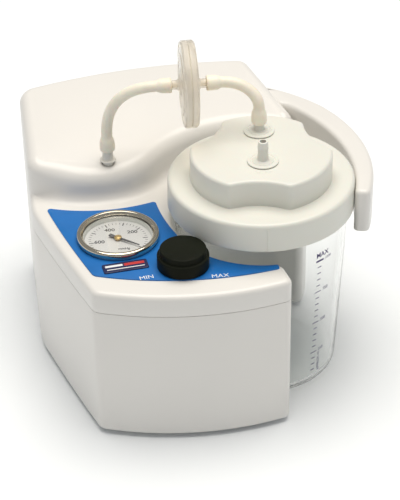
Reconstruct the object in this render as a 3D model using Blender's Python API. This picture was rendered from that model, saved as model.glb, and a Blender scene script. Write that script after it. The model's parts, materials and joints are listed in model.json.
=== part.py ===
"""Portable suction pump: moulded two-part casing, vacuum gauge, regulator and collection jar.

Every number is a millimetre. MM turns millimetres into the metres that the scene holds.
X runs to the right, Y to the back and Z up. The origin is under the middle of the casing.
"""

import math

import bmesh
import bpy
from mathutils import Matrix, Vector

MM = 0.001
GAP = 0.3  # clearance left between two pieces

# Casing
FLOOR_Z = 3.0  # underside of the casing, above the feet
PARTING_Z = 105.0  # joint between the lower and the upper casing
CONSOLE_Z = 121.0  # flat console that carries the gauge and the knob
TOP_Z, TOP_Y, TOP_SLOPE = 145.0, 18.0, 0.13  # the raised rear top climbs towards the back
WALL = 2.6
TOP_ROUND = 6.5  # rounded edge of the raised rear
LIP_ROUND = 2.4  # rounded edge of the console

FRONT_LEFT, FRONT_RIGHT = (-103.5, -97.5), (28.0, -126.0)
WALL_LEFT, WALL_RIGHT = (-120.3, 14.0), (91.5, 16.0)
BACK_LEFT, BACK_RIGHT = (-103.0, 124.5), (74.5, 118.0)
ARM_ROOT, ARM_Z0, ARM_Z1, ARM_WALL = (52.0, 83.0), 117.0, 150.0, 2.4

# Jar and lid, about their own axis
JAR_X, JAR_Y = 33.0, -42.0
JAR_BOTTOM_Z, JAR_TOP_Z = 0.5, 150.0
JAR_BASE_R, JAR_NECK_R, JAR_WALL = 55.4, 60.6, 2.2
RECESS_R = 62.3
UPPER_RECESS_R = 87.0
BROW_X, BROW_Y, BROW_LEFT_ANGLE, BROW_CORNER_Y = -62.0, 66.0, 236.0, 34.5
LID_R, LID_Z0, LID_Z1, LID_WALL = 65.3, 133.0, 154.0, 2.3
DOME_R, DOME_TOP_Z = 49.5, 173.5
NOTCH_R, NOTCH_OFFSET = 44.5, 84.8
NOTCH_ANGLES = (10.0, 130.0, 250.0)
VACUUM_NIPPLE = (39.8, -17.0)
PATIENT_NIPPLE = (29.4, -56.4)

# Gauge and regulator
GAUGE_X, GAUGE_Y = -70.9, -40.6
NEEDLE_REST = -48.0  # degrees from +X, at no vacuum
PANEL_RECESS_R = 64.4
PANEL_Z0, PANEL_Z1 = 121.1, 121.8
KNOB_X, KNOB_Y = -37.5, -86.8
KNOB_TOP_R, KNOB_BASE_R = 16.0, 17.8

# Port on the casing, and the filter between the hoses
PORT_X, PORT_Y = -60.5, 22.5
FILTER = Vector((-5.9, -0.3, 210.5))
FILTER_TURN = -11.0
FILTER_R = 30.5
HOSE_R, HOSE_BORE = 4.0, 2.4
CUFF_R, CUFF_BORE = 5.3, 4.0

# Pump, inside the rear of the casing
PUMP_Y, SHAFT_Z = 74.0, 56.0
CRANK_X, THROW = 4.0, 4.0

# Back wall fittings
SWITCH_X, SWITCH_Y = -30.0, 130.5
INLET_X, INLET_Y, BACK_Z = 22.0, 129.0, 46.0

CENTRE = Vector((-0.285, -2.995, 0.0))  # last move of every piece, to the middle of the whole

WHITE = (0.80, 0.78, 0.74)
GREY = (0.35, 0.36, 0.37)
DARK = (0.03, 0.03, 0.035)
STEEL = (0.55, 0.56, 0.58)
BRASS = (0.65, 0.50, 0.25)
RUBBER = (0.05, 0.05, 0.05)
SILICONE = (0.75, 0.70, 0.60)
CLEAR = (0.80, 0.85, 0.86)


def clear_scene():
    for found in list(bpy.data.objects):
        bpy.data.objects.remove(found)


def add(name, bm, colour):
    """Turns a bmesh in millimetres into a named object in metres, with its own material."""
    bmesh.ops.remove_doubles(bm, verts=bm.verts, dist=1e-4)
    bmesh.ops.recalc_face_normals(bm, faces=bm.faces)
    bmesh.ops.scale(bm, vec=(MM, MM, MM), verts=bm.verts)
    mesh = bpy.data.meshes.new(name)
    bm.to_mesh(mesh)
    bm.free()
    made = bpy.data.objects.new(name, mesh)
    material = bpy.data.materials.new(name)
    material.use_nodes = True
    material.node_tree.nodes["Principled BSDF"].inputs["Base Color"].default_value = (*colour, 1.0)
    mesh.materials.append(material)
    bpy.context.scene.collection.objects.link(made)
    return made


def combine(made, others, operation):
    """Applies one exact Boolean for each other object, and removes it."""
    for other in others:
        step = made.modifiers.new("combine", "BOOLEAN")
        step.operation = operation
        step.solver = "EXACT"
        step.object = other
        graph = bpy.context.evaluated_depsgraph_get()
        mesh = bpy.data.meshes.new_from_object(made.evaluated_get(graph))
        made.modifiers.clear()
        material = made.data.materials[0]
        made.data = mesh
        mesh.materials.clear()
        mesh.materials.append(material)
        bpy.data.objects.remove(other)
    return made


def cut(made, *others):
    return combine(made, others, "DIFFERENCE")


def join(made, *others):
    return combine(made, others, "UNION")


def loft(name, rings, colour=WHITE, closed=False):
    """Skins rings of equal count. Open ends get a flat cap; closed joins the last ring to the first."""
    bm = bmesh.new()
    rows = [[bm.verts.new(point) for point in ring] for ring in rings]
    count = len(rows[0])
    pairs = list(zip(rows, rows[1:]))
    if closed:
        pairs.append((rows[-1], rows[0]))
    for low, high in pairs:
        for i in range(count):
            j = (i + 1) % count
            bm.faces.new((low[i], low[j], high[j], high[i]))
    if not closed:
        bm.faces.new(rows[0])
        bm.faces.new(rows[-1])
    return add(name, bm, colour)


def spun(name, profile, at=(0, 0, 0), along="Z", steps=48, colour=WHITE):
    """Spins a closed (radius, height) profile about its axis, which points along Z, X or Y."""
    bm = bmesh.new()
    verts = [bm.verts.new((radius, 0, height)) for radius, height in profile]
    edges = [bm.edges.new((a, b)) for a, b in zip(verts, verts[1:] + verts[:1])]
    edges = [e for e in edges if max(abs(v.co.x) for v in e.verts) > 1e-6]
    bmesh.ops.spin(
        bm,
        geom=verts + edges,
        cent=(0, 0, 0),
        axis=(0, 0, 1),
        angle=math.tau,
        steps=steps,
        use_merge=True,
    )
    loose = [v for v in bm.verts if not v.link_faces]
    bmesh.ops.delete(bm, geom=loose, context="VERTS")
    turn = {
        "Z": Matrix(),
        "X": Matrix.Rotation(math.pi / 2, 4, "Y"),
        "Y": Matrix.Rotation(-math.pi / 2, 4, "X"),
    }[along]
    bmesh.ops.transform(bm, matrix=Matrix.Translation(at) @ turn, verts=bm.verts)
    return add(name, bm, colour)


def sweep(name, path, outer, inner, colour=SILICONE, steps=10):
    """A hose along a path, with an outer and an inner radius for each point of it."""
    frames = []
    side = None
    for k, point in enumerate(path):
        along = (path[min(k + 1, len(path) - 1)] - path[max(k - 1, 0)]).normalized()
        if side is None:
            side = along.orthogonal().normalized()
        side = (side - along * side.dot(along)).normalized()
        frames.append((point, side.copy(), along.cross(side)))
    rings = []
    for which, order in ((outer, range(len(path))), (inner, reversed(range(len(path))))):
        for k in order:
            point, u, v = frames[k]
            turns = [math.tau * n / steps for n in range(steps)]
            rings.append([point + which[k] * (u * math.cos(t) + v * math.sin(t)) for t in turns])
    return loft(name, rings, colour, closed=True)


def bezier(a, b, c, d, steps):
    """Points of a cubic curve, without its first point."""
    found = []
    for n in range(1, steps + 1):
        t = n / steps
        found.append(a * (1 - t) ** 3 + b * 3 * t * (1 - t) ** 2 + c * 3 * t * t * (1 - t) + d * t**3)
    return found


def rod(name, radius, start, end, at, along="Z", steps=32, colour=WHITE):
    """A plain cylinder from start to end along its axis, through the point at."""
    profile = [(0, start), (radius, start), (radius, end), (0, end)]
    return spun(name, profile, at, along, steps, colour)


def ring(name, inner, outer, start, end, at, along="Z", steps=48, colour=WHITE):
    """A plain tube from start to end along its axis."""
    profile = [(inner, start), (outer, start), (outer, end), (inner, end)]
    return spun(name, profile, at, along, steps, colour)


def box(name, low, high, colour=WHITE, edge=0.0):
    """A box between two corners, with bevelled edges if asked."""
    bm = bmesh.new()
    bmesh.ops.create_cube(bm, size=1.0)
    size = [b - a for a, b in zip(low, high)]
    middle = [(a + b) / 2 for a, b in zip(low, high)]
    bmesh.ops.scale(bm, vec=size, verts=bm.verts)
    bmesh.ops.translate(bm, vec=middle, verts=bm.verts)
    if edge:
        bmesh.ops.bevel(
            bm, geom=bm.edges[:], offset=edge, segments=2, profile=0.5, affect="EDGES", material=-1
        )
    return add(name, bm, colour)


def bulged(start, end, sagitta, steps):
    """Points of an arc from start to end that bulges to the right of its direction."""
    a, b = Vector(start), Vector(end)
    if not sagitta:
        return [a.lerp(b, i / steps) for i in range(steps + 1)]
    half = (b - a).length / 2
    radius = (half * half + sagitta * sagitta) / (2 * abs(sagitta))
    side = Vector((b.y - a.y, a.x - b.x)).normalized() * math.copysign(1, sagitta)
    centre = (a + b) / 2 - side * (radius - abs(sagitta))
    first = math.atan2(a.y - centre.y, a.x - centre.x)
    sweep = 2 * math.asin(min(1, half / radius)) * math.copysign(1, sagitta)
    return [
        centre + radius * Vector((math.cos(first + sweep * i / steps), math.sin(first + sweep * i / steps)))
        for i in range(steps + 1)
    ]


def nearest(line, point):
    """The segment index and the foot of the perpendicular from a point to a polyline."""
    best = None
    for i, (a, b) in enumerate(zip(line, line[1:])):
        span = b - a
        t = max(0, min(1, (point - a).dot(span) / span.length_squared))
        foot = a + span * t
        if best is None or (foot - point).length < best[0]:
            best = ((foot - point).length, i, foot)
    return best[1], best[2]


def shifted(line, distance):
    """The segments of a polyline moved sideways, to the left of its direction."""
    sides = [Vector((a.y - b.y, b.x - a.x)).normalized() for a, b in zip(line, line[1:])]
    moved = []
    for k, point in enumerate(line):
        before, after = sides[max(0, k - 1)], sides[min(k, len(sides) - 1)]
        middle = (before + after).normalized()
        moved.append(point + middle * (distance / max(0.5, middle.dot(after))))
    return list(zip(moved, moved[1:]))


def crossing(first, second):
    """The first point where two lists of segments cross, counted from the end of the first list."""
    for a, b in reversed(first):
        for c, d in second:
            u, v = b - a, d - c
            cross = u.x * v.y - u.y * v.x
            if abs(cross) < 1e-9:
                continue
            t = ((c.x - a.x) * v.y - (c.y - a.y) * v.x) / cross
            s = ((c.x - a.x) * u.y - (c.y - a.y) * u.x) / cross
            if -1e-6 <= t <= 1 + 1e-6 and -1e-6 <= s <= 1 + 1e-6:
                return a + u * t
    raise ValueError("a corner radius is too large for its edges")


def outline(corners):
    """A closed outline, counter-clockwise. Each corner is (x, y, radius, radius steps, bulge, edge steps)."""
    edges = []
    for here, after in zip(corners, corners[1:] + corners[:1]):
        edges.append(bulged(here[:2], after[:2], here[4], here[5]))
    arcs = []
    for k, corner in enumerate(corners):
        before, after = edges[k - 1], edges[k]
        radius, steps = corner[2], corner[3]
        if not radius:
            arcs.append([])
            continue
        u, v = before[-1] - before[-2], after[1] - after[0]
        side = math.copysign(1, u.x * v.y - u.y * v.x)
        centre = crossing(shifted(before, side * radius), shifted(after, side * radius))
        i, foot_in = nearest(before, centre)
        j, foot_out = nearest(after, centre)
        edges[k - 1] = before[: i + 1] + [foot_in]
        edges[k] = [foot_out] + after[j + 1 :]
        a = math.atan2(foot_in.y - centre.y, foot_in.x - centre.x)
        b = math.atan2(foot_out.y - centre.y, foot_out.x - centre.x)
        sweep = (b - a) % math.tau if side > 0 else -((a - b) % math.tau)
        arcs.append(
            [
                centre + radius * Vector((math.cos(a + sweep * n / steps), math.sin(a + sweep * n / steps)))
                for n in range(1, steps)
            ]
        )
    points = []
    for arc, edge in zip(arcs, edges):
        points += arc + edge
    kept = []
    for point in points:
        if not kept or (point - kept[-1]).length > 0.05:
            kept.append(point)
    return kept if (kept[0] - kept[-1]).length > 0.05 else kept[:-1]


def inset(loop, distance):
    """A closed outline moved inwards by the same distance all round."""
    moved = []
    for k, point in enumerate(loop):
        a, b = loop[k - 1], loop[(k + 1) % len(loop)]
        u, v = (point - a).normalized(), (b - point).normalized()
        normal = Vector((-u.y - v.y, u.x + v.x)).normalized()
        scale = 1 / max(0.5, normal.dot(Vector((-u.y, u.x))))
        moved.append(point + normal * distance * scale)
    return moved


def flat(loop, z):
    return [(p.x, p.y, z(p.y) if callable(z) else z) for p in loop]


def rounded_slab(name, loop, low, high, radius, steps, foot=0.0, colour=WHITE):
    """An outline raised from low to high, with its top edge rounded and its bottom edge softened."""
    top = high if callable(high) else (lambda y: high)
    rings = []
    if foot:
        rings += [flat(inset(loop, foot), low), flat(inset(loop, foot * 0.3), low + foot * 0.3)]
    rings.append(flat(loop, low + foot))
    for n in range(steps + 1):
        turn = math.pi / 2 * n / steps
        moved = inset(loop, radius * (1 - math.cos(turn)))
        rings.append([(p.x, p.y, top(p.y) - radius + radius * math.sin(turn)) for p in moved])
    return loft(name, rings, colour)


def top_z(y):
    return TOP_Z + (y - TOP_Y) * TOP_SLOPE


def jar_point(angle, radius):
    turn = math.radians(angle)
    return JAR_X + radius * math.cos(turn), JAR_Y + radius * math.sin(turn)


def recess_bulge(start, end, radius):
    return -radius * (1 - math.cos(math.radians(abs(start - end)) / 2))


def wall_x(y, top, bottom):
    """Where a straight side wall of the casing stands at this y."""
    return top[0] + (top[1] - y) * (bottom[0] - top[0]) / (top[1] - bottom[1])


def casing_outline():
    """Plan of the casing: round the front, in along the jar recess, and round the back."""
    turns = (264.6, 152.0, 40.0)
    first, middle, last = (jar_point(a, RECESS_R) for a in turns)
    return outline(
        [
            (*FRONT_LEFT, 9.0, 4, 11.5, 8),
            (*FRONT_RIGHT, 3.2, 3, 0.0, 1),
            (27.4, first[1] - 2.2, 0.0, 1, 0.0, 1),
            (*first, 0.0, 1, recess_bulge(turns[0], turns[1], RECESS_R), 10),
            (*middle, 0.0, 1, recess_bulge(turns[1], turns[2], RECESS_R), 10),
            (*last, 3.4, 3, 0.0, 1),
            (*WALL_RIGHT, 4.0, 2, 0.0, 1),
            (*BACK_RIGHT, 10.0, 4, 9.0, 6),
            (*BACK_LEFT, 13.0, 4, 0.0, 1),
            (*WALL_LEFT, 60.0, 3, 0.8, 3),
        ]
    )


def rear_outline():
    """Plan of the raised rear: a round brow that turns smoothly into a wide recess behind the lid."""
    across = Vector((BROW_X - JAR_X, BROW_Y - JAR_Y))
    brow_r = across.length - UPPER_RECESS_R
    meet, last = math.degrees(math.atan2(across.y, across.x)), 49.5
    leave = math.radians(BROW_LEFT_ANGLE)
    start = (BROW_X + brow_r * math.cos(leave), BROW_Y + brow_r * math.sin(leave))
    bulge = brow_r * (1 - math.cos(math.radians(meet + 180 - BROW_LEFT_ANGLE) / 2))
    return outline(
        [
            (wall_x(BROW_CORNER_Y, BACK_LEFT, WALL_LEFT), BROW_CORNER_Y, 12.0, 4, 0.0, 1),
            (*start, 0.0, 1, bulge, 8),
            (*jar_point(meet, UPPER_RECESS_R), 0.0, 1, recess_bulge(meet, last, UPPER_RECESS_R), 8),
            (*jar_point(last, UPPER_RECESS_R), 9.5, 4, 0.0, 1),
            (*BACK_RIGHT, 10.0, 4, 9.0, 6),
            (*BACK_LEFT, 13.0, 4, 0.0, 1),
        ]
    )


def arm_outline():
    """Plan of the curved guard arm beside the jar, from its root at the casing wall to its end."""
    low, high = ARM_ROOT
    gap = GAP + 0.05
    return outline(
        [
            (*jar_point(-32.0, 66.4), 1.5, 3, 0.0, 1),
            (*jar_point(-31.0, 76.9), 3.8, 5, 15.6, 10),
            (109.5, 44.0, 0.0, 1, 2.2, 4),
            (wall_x(high, BACK_RIGHT, WALL_RIGHT) + gap, high, 0.0, 1, 0.0, 1),
            (wall_x(low, BACK_RIGHT, WALL_RIGHT) + gap, low, 0.0, 1, -16.3, 12),
        ]
    )


def dome_outline():
    """Plan of the raised middle of the lid: a circle with three shallow round notches."""
    half = math.acos((DOME_R**2 + NOTCH_OFFSET**2 - NOTCH_R**2) / (2 * DOME_R * NOTCH_OFFSET))
    chord = DOME_R * math.sin(half)
    dip = NOTCH_R - math.sqrt(NOTCH_R**2 - chord**2)
    lobe = DOME_R * (1 - math.cos(math.pi / 3 - half))
    corners = []
    for angle in NOTCH_ANGLES:
        for side, bulge, steps in ((-1, -dip, 5), (1, lobe, 6)):
            corners.append((*jar_point(angle + side * math.degrees(half), DOME_R), 4.0, 3, bulge, steps))
    return outline(corners)


def panel_outline():
    """Plan of the coloured panel on the console."""
    return outline(
        [
            (-110.0, 12.6, 2.2, 3, 1.2, 4),
            (-98.4, -79.0, 6.0, 4, 6.2, 9),
            (23.6, -110.2, 1.9, 3, 0.0, 1),
            (*jar_point(262.0, PANEL_RECESS_R), 1.5, 3, recess_bulge(262.0, 186.0, PANEL_RECESS_R), 12),
            (*jar_point(186.0, PANEL_RECESS_R), 0.0, 1, -1.6, 4),
            (-33.4, -3.2, 2.2, 3, -7.6, 8),
        ]
    )



clear_scene()

# ---------------------------------------------------------------- casing
plan, rear = casing_outline(), rear_outline()
FEET = ((-86.0, -84.0), (-6.0, -112.5), (-66.0, 113.0), (26.0, 112.0))
SCREWS = ((-97.0, -56.0), (16.5, -113.0), (-88.5, 113.5), (60.0, 98.0))

lower = rounded_slab("lower_casing", plan, FLOOR_Z, PARTING_Z - GAP / 2, 0.6, 2, foot=2.5)
cut(
    lower,
    loft("hollow", [flat(inset(plan, WALL), FLOOR_Z + WALL), flat(inset(plan, WALL), PARTING_Z + 5)]),
)
for x, y in SCREWS:
    join(lower, rod("pillar", 4.6, FLOOR_Z + 1, PARTING_Z - GAP / 2, (x, y, 0), steps=14))
for x, y in SCREWS:
    cut(lower, rod("bore", 3.5, FLOOR_Z - 2, PARTING_Z - 10, (x, y, 0), steps=14))
    cut(lower, rod("bore", 1.9, FLOOR_Z - 2, PARTING_Z + 2, (x, y, 0), steps=10))
for x, y in FEET:
    cut(lower, rod("bore", 2.7, FLOOR_Z - 2, FLOOR_Z + 6, (x, y, 0), steps=16))

upper = rounded_slab("upper_casing", plan, PARTING_Z + GAP / 2, CONSOLE_Z, LIP_ROUND, 2, foot=0.6)
block = inset(rear, -0.04)
join(upper, rounded_slab("rear", block, PARTING_Z + 3, top_z, TOP_ROUND, 4))
hollow = loft("hollow", [flat(inset(plan, WALL), PARTING_Z - 5), flat(inset(plan, WALL), CONSOLE_Z - WALL)])
inner = inset(rear, WALL)
join(hollow, rounded_slab("hollow_rear", inner, PARTING_Z, lambda y: top_z(y) - WALL, TOP_ROUND - WALL, 2))
cut(upper, hollow)
for x, y in SCREWS:
    roof = CONSOLE_Z - 1 if y < 0 else top_z(y) - 1.5
    join(upper, rod("pillar", 4.6, PARTING_Z + GAP / 2, roof, (x, y, 0), steps=14))
for x, y in SCREWS:
    cut(upper, rod("bore", 1.9, PARTING_Z - 2, PARTING_Z + 10, (x, y, 0), steps=10))
cut(upper, rod("gauge_hole", 26.4, 110, 130, (GAUGE_X, GAUGE_Y, 0), steps=32))
cut(upper, rod("regulator_hole", 5.4, 110, 130, (KNOB_X, KNOB_Y, 0), steps=24))
cut(upper, rod("port_hole", 4.4, 130, 160, (PORT_X, PORT_Y, 0), steps=24))

arm_plan = arm_outline()
arm = rounded_slab("side_arm", arm_plan, ARM_Z0, ARM_Z1, 1.4, 3, foot=0.8)
core_plan = outline(
    [
        (*jar_point(-28.0, 69.3), 1.0, 2, 0.0, 1),
        (*jar_point(-28.0, 74.4), 1.0, 2, 15.0, 10),
        (106.6, 44.0, 0.0, 1, 0.6, 2),
        (99.0, 54.0, 1.0, 2, 0.0, 1),
        (92.8, 44.0, 1.0, 2, -13.4, 12),
    ]
)
cut(arm, loft("core", [flat(core_plan, ARM_Z0 - 2), flat(core_plan, ARM_Z1 - ARM_WALL)]))

# Bolts that hold the arm to the right wall, from the inside
wall_slope = (WALL_RIGHT[0] - BACK_RIGHT[0]) / (BACK_RIGHT[1] - WALL_RIGHT[1])
wall_turn = Matrix.Rotation(math.atan(wall_slope), 4, "Z")
ARM_BOLTS = (("arm_bolt_front", 59.0, 132.0), ("arm_bolt_rear", 70.0, 132.0))


def across_wall(name, profile, y, z, colour=STEEL, steps=12):
    """A turned piece whose axis crosses the right wall at this y."""
    made = spun(name, profile, (0, 0, 0), "X", steps, colour)
    place = Matrix.Translation(Vector((wall_x(y, BACK_RIGHT, WALL_RIGHT), y, z)) * MM) @ wall_turn
    made.data.transform(place)
    return made


for name, y, z in ARM_BOLTS:
    hole = [(0, -8), (2.1, -8), (2.1, 2.0), (0, 2.0)]
    cut(upper, across_wall("hole", hole, y, z))
    cut(arm, across_wall("hole", [(0, -1), (2.1, -1), (2.1, 6.0), (0, 6.0)], y, z))
    across_wall(name, [(0, -5.8), (3.6, -5.8), (3.6, -3.6), (1.75, -3.6), (1.75, 5.5), (0, 5.5)], y, z)

for n, (x, y) in enumerate(FEET, 1):
    profile = [(0, 0), (7.4, 0), (8, 0.6), (8, FLOOR_Z - 0.2), (2.4, FLOOR_Z - 0.2), (2.4, 5.8), (3.1, 6.2)]
    spun(f"foot_{n}", profile + [(2.2, 8.4), (0, 8.4)], (x, y, 0), steps=12, colour=RUBBER)

for n, (x, y) in enumerate(SCREWS, 1):
    top = PARTING_Z - 10.3
    profile = [(0, top - 1.6), (1.2, top - 1.6), (1.2, top - 2.8), (3.0, top - 2.8), (3.0, top)]
    profile += [(1.6, top), (1.6, PARTING_Z + 8.6), (0, PARTING_Z + 9.4)]
    spun(f"casing_screw_{n}", profile, (x, y, 0), steps=12, colour=STEEL)

# ---------------------------------------------------------------- console
panel_plan = panel_outline()
panel = loft("control_panel", [flat(panel_plan, PANEL_Z0), flat(panel_plan, PANEL_Z1)], (0.02, 0.20, 0.62))
cut(panel, rod("hole", 26.4, 110, 130, (GAUGE_X, GAUGE_Y, 0), steps=32))
cut(panel, rod("hole", 5.4, 110, 130, (KNOB_X, KNOB_Y, 0), steps=24))
badge = box("panel_badge", (-15.5, -5.2, 0), (15.5, 5.2, 0.8), DARK, 0.25)
place = Matrix.Translation(Vector((-75.2, -76.2, PANEL_Z1 + 0.1)) * MM)
badge.data.transform(place @ Matrix.Rotation(math.radians(-3), 4, "Z"))

# ---------------------------------------------------------------- gauge
G = (GAUGE_X, GAUGE_Y, 0)
spun(
    "gauge_case",
    [
        (0, 99), (25.4, 99), (25.6, 100), (25.6, 122.1), (28.0, 122.1), (28.0, 122.9), (24.4, 122.9),
        (24.4, 100.4), (0, 100.4),
    ],
    G, steps=28, colour=DARK,
)
cut(bpy.data.objects["gauge_case"], rod("bore", 3.5, 90, 105, G, steps=20))
spun(
    "gauge_bezel",
    [
        (24.3, 125.0), (24.6, 124.7), (26.2, 124.7), (26.2, 123.2), (28.0, 123.2), (28.6, 123.6),
        (28.6, 125.2), (27.6, 126.8), (25.6, 127.2), (24.4, 126.0),
    ],
    G, steps=32, colour=STEEL,
)
spun("gauge_lens", [(0, 123.4), (26.0, 123.4), (26.0, 124.4), (0, 124.6)], G, steps=32, colour=CLEAR)
spun(
    "gauge_dial", [(1.2, 119.6), (24.1, 119.6), (24.1, 120.3), (1.2, 120.3)], G, steps=32,
    colour=(0.9, 0.9, 0.88),
)
needle = spun(
    "gauge_needle",
    [(0, 112.2), (0.8, 112.2), (0.8, 121.0), (2.7, 121.0), (2.7, 122.0), (1.3, 122.6), (0, 122.6)], G,
    steps=24, colour=DARK,
)
blade = outline(
    [
        (-6.5, -1.3, 0.5, 2, 0, 1), (-6.0, 1.3, 0.5, 2, 0, 1), (17.6, 0.35, 0, 1, 0, 1),
        (17.6, -0.35, 0, 1, 0, 1),
    ][::-1]
)
blade = loft("blade", [flat(blade, 121.2), flat(blade, 121.7)], DARK)
blade.data.transform(Matrix.Translation(Vector(G) * MM) @ Matrix.Rotation(math.radians(NEEDLE_REST), 4, "Z"))
join(needle, blade)
movement = box(
    "gauge_movement", (GAUGE_X - 9, GAUGE_Y - 7, 102.0), (GAUGE_X + 9, GAUGE_Y + 7, 119.2), BRASS, 0.5,
)
cut(movement, box("slot", (GAUGE_X - 6.5, GAUGE_Y - 8, 105.5), (GAUGE_X + 6.5, GAUGE_Y + 8, 114.5)))
cut(movement, rod("bore", 1.2, 111, 121, G, steps=16))
tube_path = [
    Vector((GAUGE_X + 15.5 * math.cos(t), GAUGE_Y + 15.5 * math.sin(t), 109.0))
    for t in (math.radians(-60 + 22 * n) for n in range(13))
]
sweep("bourdon_tube", tube_path, [2.2] * 13, [1.3] * 13, BRASS, 8)
spun(
    "gauge_stem",
    [
        (0.9, 81), (2.6, 81), (2.6, 90), (2.2, 91), (6.0, 91), (6.0, 98.6), (3.2, 98.6), (3.2, 101.7),
        (0.9, 101.7),
    ],
    G, steps=20, colour=BRASS,
)

# ---------------------------------------------------------------- regulator
K = (KNOB_X, KNOB_Y, 0)
knob = spun(
    "regulator_knob",
    [
        (0, 127.2), (9.5, 127.2), (9.5, 122.3), (17.4, 122.3), (17.8, 122.7), (17.8, 130.6),
        (17.2, 131.4), (16.0, 131.8), (16.0, 135.4), (15.2, 136.2), (0, 136.2),
    ],
    K, steps=28, colour=DARK,
)
cut(knob, rod("bore", 3.3, 120, 133.5, K, steps=20))
spun("regulator_stem", [(0, 104), (3.0, 104), (3.0, 133.2), (0, 133.2)], K, steps=20, colour=STEEL)
body = spun(
    "regulator_body",
    [
        (0, 92), (12.2, 92), (13, 92.8), (13, 117.9), (5.1, 117.9), (5.1, 122.9), (3.3, 122.9),
        (3.3, 103.6), (0, 103.6),
    ],
    K, steps=20, colour=BRASS,
)
join(body, rod("nipple", 2.6, 10, 24, (KNOB_X, KNOB_Y, 109.0), "Y", 10))
join(body, rod("nipple", 2.6, 10, 24, (KNOB_X - 6.5, KNOB_Y, 98.0), "Y", 10))
join(body, rod("nipple", 2.6, -24, -10, (KNOB_X, KNOB_Y, 98.0), "X", 10))
bores = (
    ((KNOB_X, KNOB_Y, 109.0), "Y", 5, 26), ((KNOB_X - 6.5, KNOB_Y, 98.0), "Y", 5, 26),
    ((KNOB_X, KNOB_Y, 98.0), "X", -26, -5),
)
for at, along, start, end in bores:
    cut(body, rod("bore", 1.3, start, end, at, along, 8))
ring("regulator_nut", 5.4, 8.6, 123.1, 126.4, K, steps=6, colour=STEEL)
cut(bpy.data.objects["control_panel"], rod("seat", 5.4, 110, 130, K, steps=24))

# ---------------------------------------------------------------- port, hoses and filter
P = (PORT_X, PORT_Y, 0)
base = top_z(PORT_Y)
profile = [
    (1.6, 129), (2.5, 129), (2.5, 138), (3.9, 138.6), (3.9, base + 0.8), (5.8, base + 1.1),
    (5.8, base + 1.9),
]
spun(
    "vacuum_port", profile + [(4.0, base + 2.4), (3.7, 156), (3.7, 160), (3.2, 162.6), (1.6, 162.6)], P,
    steps=16, colour=CLEAR,
)

turn = math.radians(FILTER_TURN)
AXIS = Vector((math.cos(turn), math.sin(turn), 0.0))


def turned(made):
    """Turns a piece spun about X so that it lies along the filter's axis, at the filter."""
    made.data.transform(Matrix.Translation(FILTER * MM) @ Matrix.Rotation(turn, 4, "Z"))
    return made


for name, side in (("filter_inlet_half", -1), ("filter_outlet_half", 1)):
    profile = [
        (1.6, 3.4), (20, 1.2), (26.0, 1.2), (26.0, 0.15), (30.5, 0.15), (30.5, 4.2), (29.6, 4.9),
        (9.0, 6.4), (3.2, 7.6), (3.2, 16.8), (1.6, 16.8),
    ]
    half = spun(name, profile, (0, 0, 0), "X", 28, CLEAR)
    if side < 0:
        half.data.transform(Matrix.Rotation(math.pi, 4, "Z"))
    turned(half)
turned(rod("filter_membrane", 25.6, -0.3, 0.3, (0, 0, 0), "X", 32, (0.95, 0.95, 0.93)))

start = Vector((PORT_X, PORT_Y, 154.6))
inner_end = FILTER - AXIS * 12.2
path = [start + Vector((0, 0, h)) for h in (0, 1, 5, 9, 10.4, 12)]
path += bezier(path[-1], Vector((PORT_X, PORT_Y, 196)), FILTER - AXIS * 42, FILTER - AXIS * 22.8, 12)
path += [FILTER - AXIS * d for d in (21.6, 17, 12.9, 12.2)]
count = len(path)
outer = [
    CUFF_R - 0.5, CUFF_R, CUFF_R + 0.2, CUFF_R, HOSE_R + 0.5,
] + [HOSE_R] * (count - 8) + [CUFF_R, CUFF_R, CUFF_R - 0.3]
bore = [
    CUFF_BORE, CUFF_BORE, CUFF_BORE, 3.9, HOSE_BORE,
] + [HOSE_BORE] * (count - 9) + [HOSE_BORE, 3.5, 3.5, 3.5]
sweep("hose_casing_to_filter", path, outer, bore)

start = Vector((*VACUUM_NIPPLE, 180.4))
path = [start + Vector((0, 0, h)) for h in (0, 1, 5, 9.6, 11.2, 13)]
path += bezier(path[-1], Vector((*VACUUM_NIPPLE, 203)), FILTER + AXIS * 38, FILTER + AXIS * 22.8, 12)
path += [FILTER + AXIS * d for d in (21.6, 17, 12.9, 12.2)]
sweep("hose_filter_to_lid", path, outer, bore)

# ---------------------------------------------------------------- jar and lid
J = (JAR_X, JAR_Y, 0)
r0, r1 = JAR_BASE_R, JAR_NECK_R
profile = [(0, 0.9), (44, 0.9), (45.5, JAR_BOTTOM_Z), (r0 - 7, JAR_BOTTOM_Z)]
for turn in (math.radians(30 * n) for n in range(1, 4)):
    profile.append((r0 - 7 + 7 * math.sin(turn), JAR_BOTTOM_Z + 7 - 7 * math.cos(turn)))
profile += [
    (r1, 112), (r1, 143), (r1 + 0.8, 144), (r1 + 0.8, 146), (r1, 147), (r1, JAR_TOP_Z - 0.4),
    (r1 - 0.6, JAR_TOP_Z), (r1 - JAR_WALL, JAR_TOP_Z),
]
profile += [(r1 - JAR_WALL, 112), (r0 - JAR_WALL - 0.2, 9.5), (r0 - 5.2, 5.0), (r0 - 9.5, 3.4), (0, 3.4)]
spun("jar", profile, J, steps=36, colour=CLEAR)
spun(
    "lid_gasket", [(57.6, 150.2), (61.6, 150.2), (61.6, 151.4), (57.6, 151.4)], J, steps=36,
    colour=SILICONE,
)

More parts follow.
